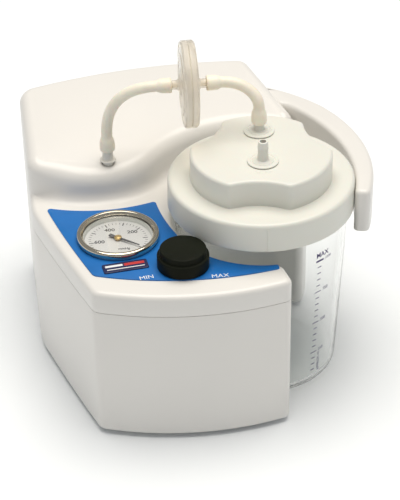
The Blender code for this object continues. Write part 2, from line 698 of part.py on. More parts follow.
profile = [
    (0, 150.0), (48.0, 150.0), (48.0, 151.7), (62.7, 151.7), (62.9, LID_Z0 + 1.0), (63.4, LID_Z0),
    (65.0, LID_Z0), (65.6, LID_Z0 + 0.8), (LID_R, LID_Z1 - 3.0), (64.5, LID_Z1 - 0.9), (62.6, LID_Z1),
    (0, LID_Z1),
]
lid = spun("jar_lid", profile, J, steps=36)
dome = dome_outline()
join(lid, rounded_slab("dome", dome, LID_Z1 - 3, DOME_TOP_Z, 2.0, 3))
cut(lid, rounded_slab("dome_core", inset(dome, LID_WALL), 140, DOME_TOP_Z - LID_WALL, 1.0, 1))
for x, y in (VACUUM_NIPPLE, PATIENT_NIPPLE):
    cut(lid, rod("bore", 4.3, 160, 180, (x, y, 0), steps=24))
profile = [
    (2.2, 166), (3.9, 166), (3.9, 173.8), (10.6, 173.8), (10.9, 174.1), (10.9, 174.6), (7.4, 175.0),
    (4.3, 175.0), (3.7, 179.0), (3.5, 184), (3.8, 184.4), (3.2, 189.6), (2.2, 189.6),
]
for name, (x, y) in (("patient_nipple", PATIENT_NIPPLE), ("vacuum_nipple", VACUUM_NIPPLE)):
    spun(name, profile, (x, y, 0), steps=16, colour=(0.75, 0.76, 0.74))
V = (*VACUUM_NIPPLE, 0)
cage = spun(
    "float_cage",
    [
        (4.2, 170.6), (4.2, 165.0), (8.0, 162.0), (12.2, 162.0), (12.2, 118.0), (4.0, 118.0),
        (4.0, 116.4), (13.6, 116.4), (13.6, 163.6), (9.6, 165.6), (6.0, 167.0), (6.0, 170.6),
    ],
    V, steps=18, colour=(0.85, 0.85, 0.82),
)
for n in range(4):
    window = box("window", (-3.6, -20, 124), (3.6, 0, 154))
    window.data.transform(
        Matrix.Translation(Vector(V) * MM) @ Matrix.Rotation(math.pi / 4 + math.pi / 2 * n, 4, "Z")
    )
    cut(cage, window)
ball = [
    (9.0 * math.cos(t), 128.0 + 9.0 * math.sin(t)) for t in (math.radians(-90 + 22.5 * n) for n in range(9))
]
ball[0], ball[-1] = (0, 119.0), (0, 137.0)
spun("float_ball", ball, V, steps=16, colour=(0.8, 0.1, 0.08))

# ---------------------------------------------------------------- pump
M = (0, PUMP_Y, SHAFT_Z)
chassis = box("pump_chassis", (-92, 40, 13.0), (50, 108, 15.0), STEEL)
for name, x in (("pump_mount_left", -84.0), ("pump_mount_right", 40.0)):
    box(name, (x - 7, 44, FLOOR_Z + WALL + 0.3), (x + 7, 104, 12.7), RUBBER, 1.0)

housing = [
    (3.3, -86), (14, -86), (30, -80), (30, -29), (14, -24), (3.3, -24), (3.3, -27), (13, -27),
    (17.9, -32),
]
housing += [(17.9, -76), (13, -82), (3.3, -82)]
spun("motor_housing", housing, M, "X", 28, STEEL)
cradle = box("cradle", (-66, PUMP_Y - 24, 14.0), (-42, PUMP_Y + 24, 45.0), STEEL)
cut(cradle, rod("bed", 30.3, -70, -40, M, "X", 28))
join(chassis, cradle)

frame = box("pump_frame", (-19.5, PUMP_Y - 24, 15.3), (26, PUMP_Y + 24, 101.5), GREY)
cut(frame, box("window", (-15.5, PUMP_Y - 30, 19.3), (22, PUMP_Y + 30, 97.5)))
cut(frame, rod("shaft_hole", 5.0, -25, -10, M, "X", 20))
cut(frame, rod("rod_hole", 16.5, 90, 110, (CRANK_X, PUMP_Y, 0), steps=24))
shaft = rod("crankshaft", 3.0, -90, 9.8, M, "X", 16, STEEL)
join(shaft, rod("rotor", 17.3, -70, -38, M, "X", 20))
join(shaft, rod("weight_disc", 13.0, -11.5, -4.0, M, "X", 24))
join(shaft, rod("eccentric", 7.0, -5.0, 8.0, (0, PUMP_Y, SHAFT_Z + THROW), "X", 20))
conrod = ring("connecting_rod", 7.3, 11.5, -1.0, 7.6, (0, PUMP_Y, SHAFT_Z + THROW), "X", 20, STEEL)
join(conrod, box("shank", (0.0, PUMP_Y - 4, SHAFT_Z + THROW + 9.4), (6.6, PUMP_Y + 4, 98.4)))
join(conrod, rod("clamp", 11.0, 97.6, 99.8, (CRANK_X, PUMP_Y, 0), steps=20))
fan = rod("motor_fan", 6.5, -96.5, -89.0, M, "X", 16, DARK)
for n in range(6):
    blade = box("blade", (-95.8, -1.2, 4.0), (-89.8, 1.2, 24.0), DARK)
    blade.data.transform(Matrix.Translation(Vector(M) * MM) @ Matrix.Rotation(math.tau * n / 6, 4, "X"))
    join(fan, blade)
cut(fan, rod("bore", 3.3, -93.5, -85.0, M, "X", 16))

C = (CRANK_X, PUMP_Y, 0)
spun(
    "diaphragm",
    [(0, 104.4), (11.5, 104.4), (13.5, 103.4), (15.5, 104.4), (24, 104.4), (24, 105.6), (0, 105.6)], C,
    steps=28, colour=RUBBER,
)
join(frame, ring("seat", 17.0, 25.0, 101.0, 104.1, C, steps=24))
head = spun(
    "pump_head", [(0, 109.0), (16, 106.2), (25, 106.2), (25, 114), (20, 118), (0, 118)], C, steps=28,
    colour=GREY,
)
PORTS = ((-9.0, -1), (9.0, 1))
for offset, side in PORTS:
    join(head, rod("nipple", 2.6, 112, 124, (CRANK_X + offset, PUMP_Y - 4, 0), steps=12))
    cut(head, rod("bore", 1.5, 104, 130, (CRANK_X + offset, PUMP_Y - 4, 0), steps=10))

muffler = [
    (3.0, 119.5), (7.0, 119.5), (8.0, 120.5), (8.0, 137.5), (7.0, 138.5), (1.2, 138.5), (1.2, 135.0),
    (5.5, 135.0),
]
muffler += [(5.5, 127.0), (3.0, 127.0)]
spun("exhaust_silencer", muffler, (CRANK_X + 9.0, PUMP_Y - 4, 0), steps=16, colour=BRASS)


def tube(name, points, steps=4, colour=SILICONE, stub=9.0):
    """A soft inner hose through a chain of (point, handle) pairs, straight where it fits over a nipple."""
    first, last = Vector(points[0][0]), Vector(points[-1][0])
    lead, tail = (Vector(points[k][1]).normalized() * stub for k in (0, -1))
    chain = [(first + lead, points[0][1])] + list(points[1:-1]) + [(last - tail, points[-1][1])]
    path = [first, first + lead]
    for (a, u), (b, v) in zip(chain, chain[1:]):
        path += bezier(Vector(a), Vector(a) + Vector(u), Vector(b) - Vector(v), Vector(b), steps)
    path.append(last)
    sweep(name, path, [4.4] * len(path), [3.1] * len(path), colour, 8)


PUMP_END = (KNOB_X, KNOB_Y + 14.5, 109.0)
PORT_END = (KNOB_X - 6.5, KNOB_Y + 14.5, 98.0)
HEAD_NIPPLE = (CRANK_X - 9, PUMP_Y - 4, 118.8)
tube(
    "pump_hose",
    [
        (HEAD_NIPPLE, (0, 0, 9)), ((-38, 36, 104), (-4, -12, -10)), ((-40, -14, 103), (0, -14, 0)),
        (PUMP_END, (0, -9, 0)),
    ],
)
GAUGE_END = (KNOB_X - 14.5, KNOB_Y, 98.0)
tube(
    "gauge_hose",
    [((GAUGE_X, GAUGE_Y, 89.6), (0, 0, -8)), ((-76, -64, 72), (0, -12, 2)), (GAUGE_END, (14, 0, 0))],
)
tube(
    "port_hose",
    [
        ((PORT_X, PORT_Y, 137.0), (0, 0, -14)), ((-56, -12, 82), (1, -16, -3)),
        ((-50, -46, 80), (1, -12, 3)), (PORT_END, (0, -9, 0)),
    ],
)

# ---------------------------------------------------------------- back wall
B = BACK_Z
for x, half_w, half_h in ((SWITCH_X, 9.4, 6.6), (INLET_X, 14.2, 17.2)):
    cut(lower, box("opening", (x - half_w, 110, B - half_h), (x + half_w, 140, B + half_h)))
bezel = box(
    "switch_frame", (SWITCH_X - 10.8, SWITCH_Y + 0.4, B - 8.0),
    (SWITCH_X + 10.8, SWITCH_Y + 1.9, B + 8.0), DARK, 0.4,
)
join(
    bezel,
    box("body", (SWITCH_X - 9.1, SWITCH_Y - 15, B - 6.3), (SWITCH_X + 9.1, SWITCH_Y + 1.0, B + 6.3)),
)
cut(bezel, box("mouth", (SWITCH_X - 7.6, SWITCH_Y - 6.5, B - 5.0), (SWITCH_X + 7.6, SWITCH_Y + 3, B + 5.0)))
rocker = box("power_rocker", (-7.2, -3.4, -4.5), (7.2, 2.6, 4.5), DARK, 0.5)
rocker.data.transform(
    Matrix.Translation(Vector((SWITCH_X, SWITCH_Y - 0.6, B)) * MM) @ Matrix.Rotation(math.radians(-8), 4, "Z")
)

inlet = box(
    "mains_inlet", (INLET_X - 17, INLET_Y + 0.4, B - 20), (INLET_X + 17, INLET_Y + 2.9, B + 20), DARK,
    0.5,
)
join(
    inlet,
    box("body", (INLET_X - 13.9, INLET_Y - 24, B - 16.9), (INLET_X + 13.9, INLET_Y + 1.5, B + 16.9)),
)
cut(inlet, box("socket", (INLET_X - 12.0, INLET_Y - 15, B - 2.5), (INLET_X + 12.0, INLET_Y + 5, B + 13.5)))
for x, z in ((-7.0, 4.0), (0.0, 8.0), (7.0, 4.0)):
    join(
        inlet,
        box("pin", (INLET_X + x - 1, INLET_Y - 17, B + z - 2), (INLET_X + x + 1, INLET_Y - 1.5, B + z + 2)),
    )
cut(inlet, box("slot", (INLET_X - 11.0, INLET_Y - 20, B - 14.0), (INLET_X + 11.0, INLET_Y + 5, B - 6.0)))
drawer = box(
    "fuse_drawer", (INLET_X - 10.7, INLET_Y - 18, B - 13.7), (INLET_X + 10.7, INLET_Y + 3.3, B - 6.3),
    DARK, 0.3,
)
cut(drawer, box("fuse_bed", (INLET_X - 8.0, INLET_Y - 16, B - 11.5), (INLET_X + 8.0, INLET_Y - 2, B)))

# A moving piece has its origin on its joint's axis. The others keep theirs at the part's own origin.
JAR_AXIS = (JAR_X, JAR_Y, 0.0)
PORT_AXIS = (PORT_X, PORT_Y, 150.0)
SHAFT_AXIS = (CRANK_X, PUMP_Y, SHAFT_Z)
PIVOTS = {
    "regulator_knob": (KNOB_X, KNOB_Y, 129.0),
    "regulator_stem": (KNOB_X, KNOB_Y, 129.0),
    "gauge_needle": (GAUGE_X, GAUGE_Y, 121.0),
    "power_rocker": (SWITCH_X, SWITCH_Y - 0.6, BACK_Z),
    "crankshaft": SHAFT_AXIS,
    "motor_fan": SHAFT_AXIS,
    "connecting_rod": (CRANK_X, PUMP_Y, SHAFT_Z + THROW),
    "fuse_drawer": (INLET_X, INLET_Y, BACK_Z - 10.0),
}
PIVOTS.update(
    (name, JAR_AXIS)
    for name in (
        "jar", "jar_lid", "lid_gasket", "vacuum_nipple", "patient_nipple", "float_cage", "float_ball",
    )
)
PIVOTS.update(
    (name, PORT_AXIS)
    for name in (
        "hose_casing_to_filter", "filter_inlet_half", "filter_membrane", "filter_outlet_half",
        "hose_filter_to_lid",
    )
)
for made in bpy.data.objects:
    pivot = Vector(PIVOTS.get(made.name, -CENTRE))
    made.data.transform(Matrix.Translation(-pivot * MM))
    made.location = (pivot + CENTRE) * MM
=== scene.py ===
"""Finished looks of a portable suction pump: casing, panel, gauge, regulator, jar, lid, hoses and filter.

Plan sizes are in millimetres from the pump's own plan origin, with X to the right, Y to the back and Z up.
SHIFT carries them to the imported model's frame, and every finished mesh is in metres.
"""

import json
import math

import bmesh
import bpy
from bpy.props import FloatProperty, FloatVectorProperty, PointerProperty
from mathutils import Matrix, Vector

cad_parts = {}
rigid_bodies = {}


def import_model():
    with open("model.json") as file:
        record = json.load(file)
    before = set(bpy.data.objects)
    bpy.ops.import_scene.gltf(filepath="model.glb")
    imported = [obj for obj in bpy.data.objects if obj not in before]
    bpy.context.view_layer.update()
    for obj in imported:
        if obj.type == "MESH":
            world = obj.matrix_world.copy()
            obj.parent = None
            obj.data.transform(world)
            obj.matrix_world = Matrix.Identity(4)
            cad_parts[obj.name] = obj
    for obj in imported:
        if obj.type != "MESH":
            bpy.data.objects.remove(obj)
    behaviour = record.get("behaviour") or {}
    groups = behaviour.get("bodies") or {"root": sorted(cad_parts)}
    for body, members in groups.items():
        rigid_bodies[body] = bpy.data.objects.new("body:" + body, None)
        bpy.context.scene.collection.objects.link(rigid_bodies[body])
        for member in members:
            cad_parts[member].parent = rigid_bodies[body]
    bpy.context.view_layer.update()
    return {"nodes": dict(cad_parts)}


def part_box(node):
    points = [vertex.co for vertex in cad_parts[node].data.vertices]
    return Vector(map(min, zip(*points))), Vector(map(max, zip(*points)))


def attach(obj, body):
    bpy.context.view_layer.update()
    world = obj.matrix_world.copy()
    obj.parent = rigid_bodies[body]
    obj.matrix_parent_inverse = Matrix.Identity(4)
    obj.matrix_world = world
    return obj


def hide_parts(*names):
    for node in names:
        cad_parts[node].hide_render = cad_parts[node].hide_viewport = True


bl_info = {
    "name": "Suction Pump Looks",
    "version": (1, 0, 0),
    "blender": (4, 5, 0),
    "location": "3D View > Sidebar > Suction Pump",
    "description": "Makes the finished surfaces of a portable suction pump around its working model",
    "category": "Object",
}

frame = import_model()
MM = 0.001


def middle(node):
    """The middle of a working part's box, in millimetres."""
    low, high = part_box(node)
    return (low + high) / 2 / MM


# Plan of the pump, as its working parts have it
JAR_X, JAR_Y = 33.0, -42.0
SHIFT = Vector((middle("jar").x - JAR_X, middle("jar").y - JAR_Y, 0.0))
FLOOR_Z, PARTING_Z, CONSOLE_Z = 3.0, 105.0, 121.0
TOP_Z, TOP_Y, TOP_SLOPE = 145.0, 18.0, 0.13
SEAM = 0.22  # the gap between the casing's two halves
RECESS_R, UPPER_RECESS_R = 62.3, 87.0
RECESS_ANGLES, UPPER_RECESS_END = (264.6, 152.0, 40.0), 49.5  # degrees round the jar
BROW_X, BROW_Y, BROW_LEFT_ANGLE, BROW_CORNER_Y = -62.0, 66.0, 236.0, 34.5
BROW_SOFTER, FLARE_REACH = 0.5, 20.0  # extra rounding along the brow, and where it fades out
FRONT_LEFT, FRONT_RIGHT = (-103.5, -97.5), (28.0, -126.0)
WALL_LEFT, WALL_RIGHT = (-120.3, 14.0), (91.5, 16.0)
BACK_LEFT, BACK_RIGHT = (-103.0, 124.5), (74.5, 118.0)
BACK_CORNERS = ((*BACK_RIGHT, 10.0, 9.0, 6), (*BACK_LEFT, 13.0, 0.0, 1))  # as outline takes them
ARM_ROOT, ARM_Z0, ARM_Z1 = (52.0, 83.0), 117.0, 150.0
JAR_BASE_R, JAR_NECK_R, JAR_WALL = 55.4, 60.6, 2.2
JAR_CURVE_Z, JAR_SHOULDER_Z = 7.5, 112.0  # between them the jar's wall widens evenly
SCALE_ANGLE, SCALE_FIRST_Z, SCALE_STEP = -66.5, 30.7, 27.2  # 250 ml for each step
LID_Z0, LID_Z1, LID_R, LID_WALL = 133.0, 154.0, 65.3, 2.3
RIDGE_ANGLE = -104.6
DOME_R, DOME_TOP_Z, NOTCH_R, NOTCH_OFFSET = 49.5, 173.5, 44.5, 84.8
NOTCH_ANGLES = (10.0, 130.0, 250.0)
VACUUM_NIPPLE, PATIENT_NIPPLE = (39.8, -17.0), (29.4, -56.4)
GAUGE, GAUGE_HOLE_R = (-70.9, -40.6), 26.4
DIAL_R, DIAL_Z = 23.3, 119.9
DIAL_ZERO, DIAL_STEP = -48.0, 37.5  # degrees: where 0 stands, and the turn for each hundred
DIAL_TILT = -12.0  # degrees: how the dial's numbers lean
MARK_R, NUMBER_R = 20.6, 13.2
KNOB, KNOB_HOLE_R = (-37.5, -86.8), 5.4
GRIP_R, GRIP_Z, GRIP_FACETS = 15.8, 131.6, 24
PANEL_TOP_Z = 121.8
PRINT_LIFT = 0.03
BADGE, BADGE_HALF_X, BADGE_HALF_Y, BADGE_TURN = (-75.2, -76.2), 15.5, 5.2, -3
PORT, PORT_HOLE_R = (-60.5, 22.5), 4.4
FILTER = Vector((-5.9, -0.3, 210.5))
FILTER_TURN = math.radians(-11.0)
HOSE_R = 4.0
SWITCH, ROCKER_TURN = (-30.0, 130.5, 46.0), math.radians(-8)
INLET = (22.0, 129.0, 46.0)

# Studio: lengths in metres, and the camera's angles in degrees
FLOOR_SIZE, FLOOR_DROP = 12.0, 0.0004
LIGHT_AIM = (0, 0, 0.08)
OVERHEAD_PLACE, OVERHEAD_WIDTH, OVERHEAD_COLOUR = (0.19, 0.19, 3.0), 2.85, (1.0, 0.955, 0.885)
SKY_COLOUR, BACKDROP_COLOUR = (0.93, 0.965, 1.0, 1.0), (0.95, 0.96, 0.97, 1.0)
CAMERA_TURN, CAMERA_RISE, CAMERA_ROLL = -16.494, 34.386, -1.014
CAMERA_AIM, CAMERA_DISTANCE, CAMERA_LENS = (-0.00814, -0.02811, 0.090), 1.2594, 126.4


# ---------------------------------------------------------------- materials
def surface(name, colour, roughness=0.45, metallic=0.0, grain=0.0, grain_size=900.0, mottle=0.03,
            mottle_size=30.0, rough_change=0.06, **sockets):
    """A procedural finish: slow colour change, change of gloss, and a fine moulded or machined grain."""
    made = bpy.data.materials.new(name)
    made.use_nodes = True
    nodes, links = made.node_tree.nodes, made.node_tree.links
    shader = nodes["Principled BSDF"]
    place = nodes.new("ShaderNodeTexCoord")
    slow = nodes.new("ShaderNodeTexNoise")
    slow.inputs["Scale"].default_value = mottle_size
    slow.inputs["Detail"].default_value = 5.0
    links.new(place.outputs["Object"], slow.inputs["Vector"])
    ramp = nodes.new("ShaderNodeValToRGB")
    darker = [c * (1 - mottle) for c in colour]
    lighter = [min(1.0, c * (1 + mottle)) for c in colour]
    ramp.color_ramp.elements[0].position, ramp.color_ramp.elements[1].position = 0.3, 0.7
    ramp.color_ramp.elements[0].color = (*darker, 1.0)
    ramp.color_ramp.elements[1].color = (*lighter, 1.0)
    links.new(slow.outputs["Fac"], ramp.inputs["Fac"])
    links.new(ramp.outputs["Color"], shader.inputs["Base Color"])
    gloss = nodes.new("ShaderNodeMapRange")
    gloss.inputs["To Min"].default_value = max(0.0, roughness - rough_change)
    gloss.inputs["To Max"].default_value = min(1.0, roughness + rough_change)
    links.new(slow.outputs["Fac"], gloss.inputs["Value"])
    links.new(gloss.outputs["Result"], shader.inputs["Roughness"])
    if grain:
        fine = nodes.new("ShaderNodeTexNoise")
        fine.inputs["Scale"].default_value = grain_size
        fine.inputs["Detail"].default_value = 3.0
        links.new(place.outputs["Object"], fine.inputs["Vector"])
        bump = nodes.new("ShaderNodeBump")
        bump.inputs["Strength"].default_value = grain
        bump.inputs["Distance"].default_value = 0.0002
        links.new(fine.outputs["Fac"], bump.inputs["Height"])
        links.new(bump.outputs["Normal"], shader.inputs["Normal"])
    shader.inputs["Metallic"].default_value = metallic
    for socket, value in sockets.items():
        shader.inputs[socket.replace("_", " ")].default_value = value
    return made


def clear(name, colour, roughness, through=1.0, ior=1.49, **more):
    """A clear or milky plastic. Lamp light passes straight through it, so it throws no dark shadow."""
    made = surface(name, colour, roughness, rough_change=roughness * 0.4, mottle=0.01, IOR=ior, **more)
    nodes, links = made.node_tree.nodes, made.node_tree.links
    shader = nodes["Principled BSDF"]
    shader.inputs["Transmission Weight"].default_value = through
    rays = nodes.new("ShaderNodeLightPath")
    open_way = nodes.new("ShaderNodeBsdfTransparent")
    open_way.inputs["Color"].default_value = (*colour, 1.0)
    either = nodes.new("ShaderNodeMixShader")
    soft = nodes.new("ShaderNodeMath")
    soft.operation = "MAXIMUM"
    links.new(rays.outputs["Is Shadow Ray"], soft.inputs[0])
    links.new(rays.outputs["Is Diffuse Ray"], soft.inputs[1])
    links.new(soft.outputs["Value"], either.inputs["Fac"])
    links.new(shader.outputs["BSDF"], either.inputs[1])
    links.new(open_way.outputs["BSDF"], either.inputs[2])
    links.new(either.outputs["Shader"], nodes["Material Output"].inputs["Surface"])
    return made


FINISHES = {}


def finishes(sizes):
    """Makes every finish once, from the colours that the panel's settings hold."""
    if FINISHES:
        return
    white, blue, knob = tuple(sizes.casing), tuple(sizes.panel), tuple(sizes.knob)
    FINISHES.update(
        casing=surface("casing white", white, 0.32, grain=0.16, mottle=0.012, mottle_size=14.0,
                       Specular_IOR_Level=0.5, Coat_Weight=0.12, Coat_Roughness=0.25),
        panel=surface("panel blue", blue, 0.38, grain=0.08, mottle=0.06, mottle_size=60.0,
                      Specular_IOR_Level=0.3),
        badge=surface("badge navy", (0.012, 0.016, 0.075), 0.28, grain=0.05, mottle=0.1),
        badge_red=surface("badge red", (0.55, 0.03, 0.03), 0.35, mottle=0.05),
        print_white=surface("printed white", (0.85, 0.86, 0.86), 0.5, mottle=0.04, mottle_size=400.0),
        print_black=surface("printed black", (0.03, 0.03, 0.035), 0.5, mottle=0.2, mottle_size=400.0),
        print_violet=surface("printed violet", (0.06, 0.04, 0.16), 0.45, mottle=0.2, mottle_size=300.0),
        # Bezel chrome: its own pale metal colour, with a warm brown tint that is painted reflection of
        # darker surroundings.
        chrome=surface("bezel chrome", (0.66, 0.59, 0.47), 0.10, 1.0, grain=0.02, mottle=0.03,
                       rough_change=0.03),
        well=surface("plated well", (0.70, 0.71, 0.66), 0.38, 0.35, grain=0.05, mottle=0.05),
        dial=surface("dial white", (0.61, 0.61, 0.595), 0.42, grain=0.04, mottle=0.02),
        glass=clear("gauge glass", (1.0, 1.0, 1.0), 0.01, ior=1.45),
        brass=surface("machined brass", (0.62, 0.44, 0.18), 0.28, 1.0, grain=0.08, mottle=0.08,
                      mottle_size=120.0),
        knob=surface("knob black", knob, 0.5, grain=0.25, grain_size=700.0, mottle=0.15,
                     Specular_IOR_Level=0.1),
        black=surface("moulded black", (0.022, 0.022, 0.024), 0.45, grain=0.25, mottle=0.12),
        rubber=surface("black rubber", (0.025, 0.025, 0.025), 0.75, grain=0.4, mottle=0.15),
        steel=surface("plated steel", (0.56, 0.56, 0.57), 0.30, 1.0, grain=0.1, mottle=0.06,
                      mottle_size=90.0),
        aluminium=surface("cast aluminium", (0.60, 0.61, 0.62), 0.48, 1.0, grain=0.4, grain_size=500.0,
                          mottle=0.05),
        lid=surface("lid white", tuple(sizes.lid), 0.36, grain=0.10, mottle=0.015, mottle_size=18.0,
                    Subsurface_Weight=0.06, Subsurface_Scale=0.002),
        gasket=surface("gasket silicone", (0.80, 0.77, 0.70), 0.5, grain=0.1, mottle=0.04),
        hose=surface("hose silicone", tuple(sizes.hose), 0.34, grain=0.12, mottle=0.05,
                     mottle_size=80.0, Subsurface_Weight=0.15, Subsurface_Scale=0.002, IOR=1.41),
        port=surface("port nylon", (0.84, 0.81, 0.74), 0.30, grain=0.05, mottle=0.03),
        jar=clear("jar polycarbonate", (0.985, 0.99, 0.985), 0.03, ior=1.30),
        filter=clear("filter styrene", (0.93, 0.89, 0.82), 0.16, through=0.66, ior=1.25, grain=0.3,
                     grain_size=260.0),
        paper=surface("filter paper", (0.86, 0.84, 0.78), 0.85, grain=0.5, grain_size=1400.0,
                      mottle=0.04),
        red=surface("float red", (0.55, 0.03, 0.02), 0.3, grain=0.05, mottle=0.05),
    )


# ---------------------------------------------------------------- shaping helpers
def piece(name, bm, body, finish, stands_for=(), sharp=30.0):
    """Ends a bmesh in millimetres as a finished piece in metres that rides on its body."""
    bmesh.ops.remove_doubles(bm, verts=bm.verts, dist=1e-4)
    bmesh.ops.recalc_face_normals(bm, faces=bm.faces)
    bmesh.ops.translate(bm, vec=SHIFT, verts=bm.verts)
    bmesh.ops.scale(bm, vec=(MM, MM, MM), verts=bm.verts)
    mesh = bpy.data.meshes.new(name)
    bm.to_mesh(mesh)
    bm.free()
    mesh.shade_smooth()
    mesh.set_sharp_from_angle(angle=math.radians(sharp))
    mesh.materials.append(FINISHES[finish])
    made = bpy.data.objects.new(name, mesh)
    bpy.context.scene.collection.objects.link(made)
    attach(made, body)
    if stands_for:
        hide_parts(*stands_for)


def combined(bm, others, operation="UNION"):
    """One bmesh with the others joined to it, or cut from it."""

    def loose(source):
        mesh = bpy.data.meshes.new("tool")
        bmesh.ops.recalc_face_normals(source, faces=source.faces)
        source.to_mesh(mesh)
        source.free()
        tool = bpy.data.objects.new("tool", mesh)
        bpy.context.scene.collection.objects.link(tool)
        return tool

    body = loose(bm)
    for other in others:
        tool = loose(other)
        step = body.modifiers.new("combine", "BOOLEAN")
        step.operation, step.solver, step.object = operation, "EXACT", tool
        graph = bpy.context.evaluated_depsgraph_get()
        body.data = bpy.data.meshes.new_from_object(body.evaluated_get(graph))
        body.modifiers.clear()
        bpy.data.objects.remove(tool)
    made = bmesh.new()
    made.from_mesh(body.data)
    bpy.data.objects.remove(body)
    return made


def turned(profile, at=(0.0, 0.0, 0.0), along="Z", steps=64):
    """Spins a closed profile of (radius, height) about its axis."""
    bm = bmesh.new()
    verts = [bm.verts.new((radius, 0, height)) for radius, height in profile]
    edges = [bm.edges.new((a, b)) for a, b in zip(verts, verts[1:] + verts[:1])]
    edges = [e for e in edges if max(abs(v.co.x) for v in e.verts) > 1e-6]
    bmesh.ops.spin(bm, geom=verts + edges, cent=(0, 0, 0), axis=(0, 0, 1), angle=math.tau, steps=steps,
                   use_merge=True)
    bmesh.ops.remove_doubles(bm, verts=bm.verts, dist=0.0001)
    bmesh.ops.delete(bm, geom=[e for e in bm.edges if not e.link_faces], context="EDGES")
    bmesh.ops.recalc_face_normals(bm, faces=bm.faces)
    turn = {"Z": Matrix(), "X": Matrix.Rotation(math.pi / 2, 4, "Y"),
            "Y": Matrix.Rotation(-math.pi / 2, 4, "X")}[along]
    bmesh.ops.transform(bm, matrix=Matrix.Translation(at) @ turn, verts=bm.verts)
    return bm


def arc(x, z, radius, start, end, steps=5):
    """Points of a profile along a round corner, from one angle to another."""
    angles = [math.radians(start + (end - start) * n / steps) for n in range(steps + 1)]
    return [(x + radius * math.cos(a), z + radius * math.sin(a)) for a in angles]


def bulged(start, end, sagitta, steps):
    """Points of an arc from start to end that bulges to the right of its direction."""
    a, b = Vector(start), Vector(end)
    if not sagitta:
        return [a.lerp(b, i / steps) for i in range(steps + 1)]
    half = (b - a).length / 2
    radius = (half * half + sagitta * sagitta) / (2 * abs(sagitta))
    side = Vector((b.y - a.y, a.x - b.x)).normalized() * math.copysign(1, sagitta)
    centre = (a + b) / 2 - side * (radius - abs(sagitta))
    first = math.atan2(a.y - centre.y, a.x - centre.x)
    turn = 2 * math.asin(min(1, half / radius)) * math.copysign(1, sagitta)
    angles = [first + turn * i / steps for i in range(steps + 1)]
    return [centre + radius * Vector((math.cos(t), math.sin(t))) for t in angles]


def nearest(line, point):
    """The segment index and the foot of the perpendicular from a point to a line of points."""
    best = None
    for i, (a, b) in enumerate(zip(line, line[1:])):
        span = b - a
        t = max(0, min(1, (point - a).dot(span) / span.length_squared))
        foot = a + span * t
        if best is None or (foot - point).length < best[0]:
            best = ((foot - point).length, i, foot)
    return best[1], best[2]


def shifted(line, distance):
    """The segments of a line moved sideways, to the left of its direction."""
    sides = [Vector((a.y - b.y, b.x - a.x)).normalized() for a, b in zip(line, line[1:])]
    moved = []
    for k, point in enumerate(line):
        before, after = sides[max(0, k - 1)], sides[min(k, len(sides) - 1)]
        between = (before + after).normalized()
        moved.append(point + between * (distance / max(0.5, between.dot(after))))
    return list(zip(moved, moved[1:]))


def crossing(first, second):
    """The point where two lists of segments cross, counted from the end of the first list."""
    for a, b in reversed(first):
        for c, d in second:
            u, v = b - a, d - c
            cross = u.x * v.y - u.y * v.x
            if abs(cross) < 1e-9:
                continue
            t = ((c.x - a.x) * v.y - (c.y - a.y) * v.x) / cross
            s = ((c.x - a.x) * u.y - (c.y - a.y) * u.x) / cross
            if -1e-6 <= t <= 1 + 1e-6 and -1e-6 <= s <= 1 + 1e-6:
                return a + u * t
    raise ValueError("a corner radius is too large for its edges")


def outline(corners, fine=4):
    """A closed outline, counter-clockwise, from its corners.

    Each corner gives its x, y and radius, and the bulge and steps of the edge that follows it.
    """
    edges = []
    for here, after in zip(corners, corners[1:] + corners[:1]):
        edges.append(bulged(here[:2], after[:2], here[3], here[4] * fine))
    arcs = []
    for k, corner in enumerate(corners):
        before, after = edges[k - 1], edges[k]
        radius = corner[2]
        if not radius:
            arcs.append([])
            continue
        u, v = before[-1] - before[-2], after[1] - after[0]
        side = math.copysign(1, u.x * v.y - u.y * v.x)
        centre = crossing(shifted(before, side * radius), shifted(after, side * radius))
        i, foot_in = nearest(before, centre)
        j, foot_out = nearest(after, centre)
        edges[k - 1] = before[: i + 1] + [foot_in]
        edges[k] = [foot_out] + after[j + 1 :]
        a = math.atan2(foot_in.y - centre.y, foot_in.x - centre.x)
        b = math.atan2(foot_out.y - centre.y, foot_out.x - centre.x)
        sweep = (b - a) % math.tau if side > 0 else -((a - b) % math.tau)
        steps = max(2, round(abs(math.degrees(sweep)) / 8))
        angles = [a + sweep * n / steps for n in range(1, steps)]
        arcs.append([centre + radius * Vector((math.cos(t), math.sin(t))) for t in angles])
    points = []
    for bend, edge in zip(arcs, edges):
        points += bend + edge
    kept = []
    for point in points:
        if not kept or (point - kept[-1]).length > 0.12:
            kept.append(point)
    return kept if (kept[0] - kept[-1]).length > 0.12 else kept[:-1]


def inset(loop, distance):
    """A closed outline moved inwards by the same distance all round."""
    moved = []
    for k, point in enumerate(loop):
        a, b = loop[k - 1], loop[(k + 1) % len(loop)]
        u, v = (point - a).normalized(), (b - point).normalized()
        normal = Vector((-u.y - v.y, u.x + v.x)).normalized()
        moved.append(point + normal * distance / max(0.5, normal.dot(Vector((-u.y, u.x)))))
    return moved


def lofted(loop, levels):
    """An outline raised level by level. Each level gives a point's distance inwards and its height."""
    inward = [(moved - point) for moved, point in zip(inset(loop, 1.0), loop)]
    bm = bmesh.new()
    number = bm.verts.layers.int.new("number")

    def shape(face, level):
        for v in face.verts:
            point = loop[v[number]]
            distance, height = level(v[number])
            v.co = (*(point + inward[v[number]] * distance), height)

    face = bm.faces.new([bm.verts.new((*point, 0)) for point in loop])
    for k, v in enumerate(face.verts):
        v[number] = k
    shape(face, levels[0])
    for n, level in enumerate(levels[1:]):
        grown = bmesh.ops.extrude_face_region(bm, geom=[face])["geom"]
        if n:
            bmesh.ops.delete(bm, geom=[face], context="FACES_ONLY")
        face = next(f for f in grown if isinstance(f, bmesh.types.BMFace) and len(f.verts) == len(loop))
        shape(face, level)
    return bm


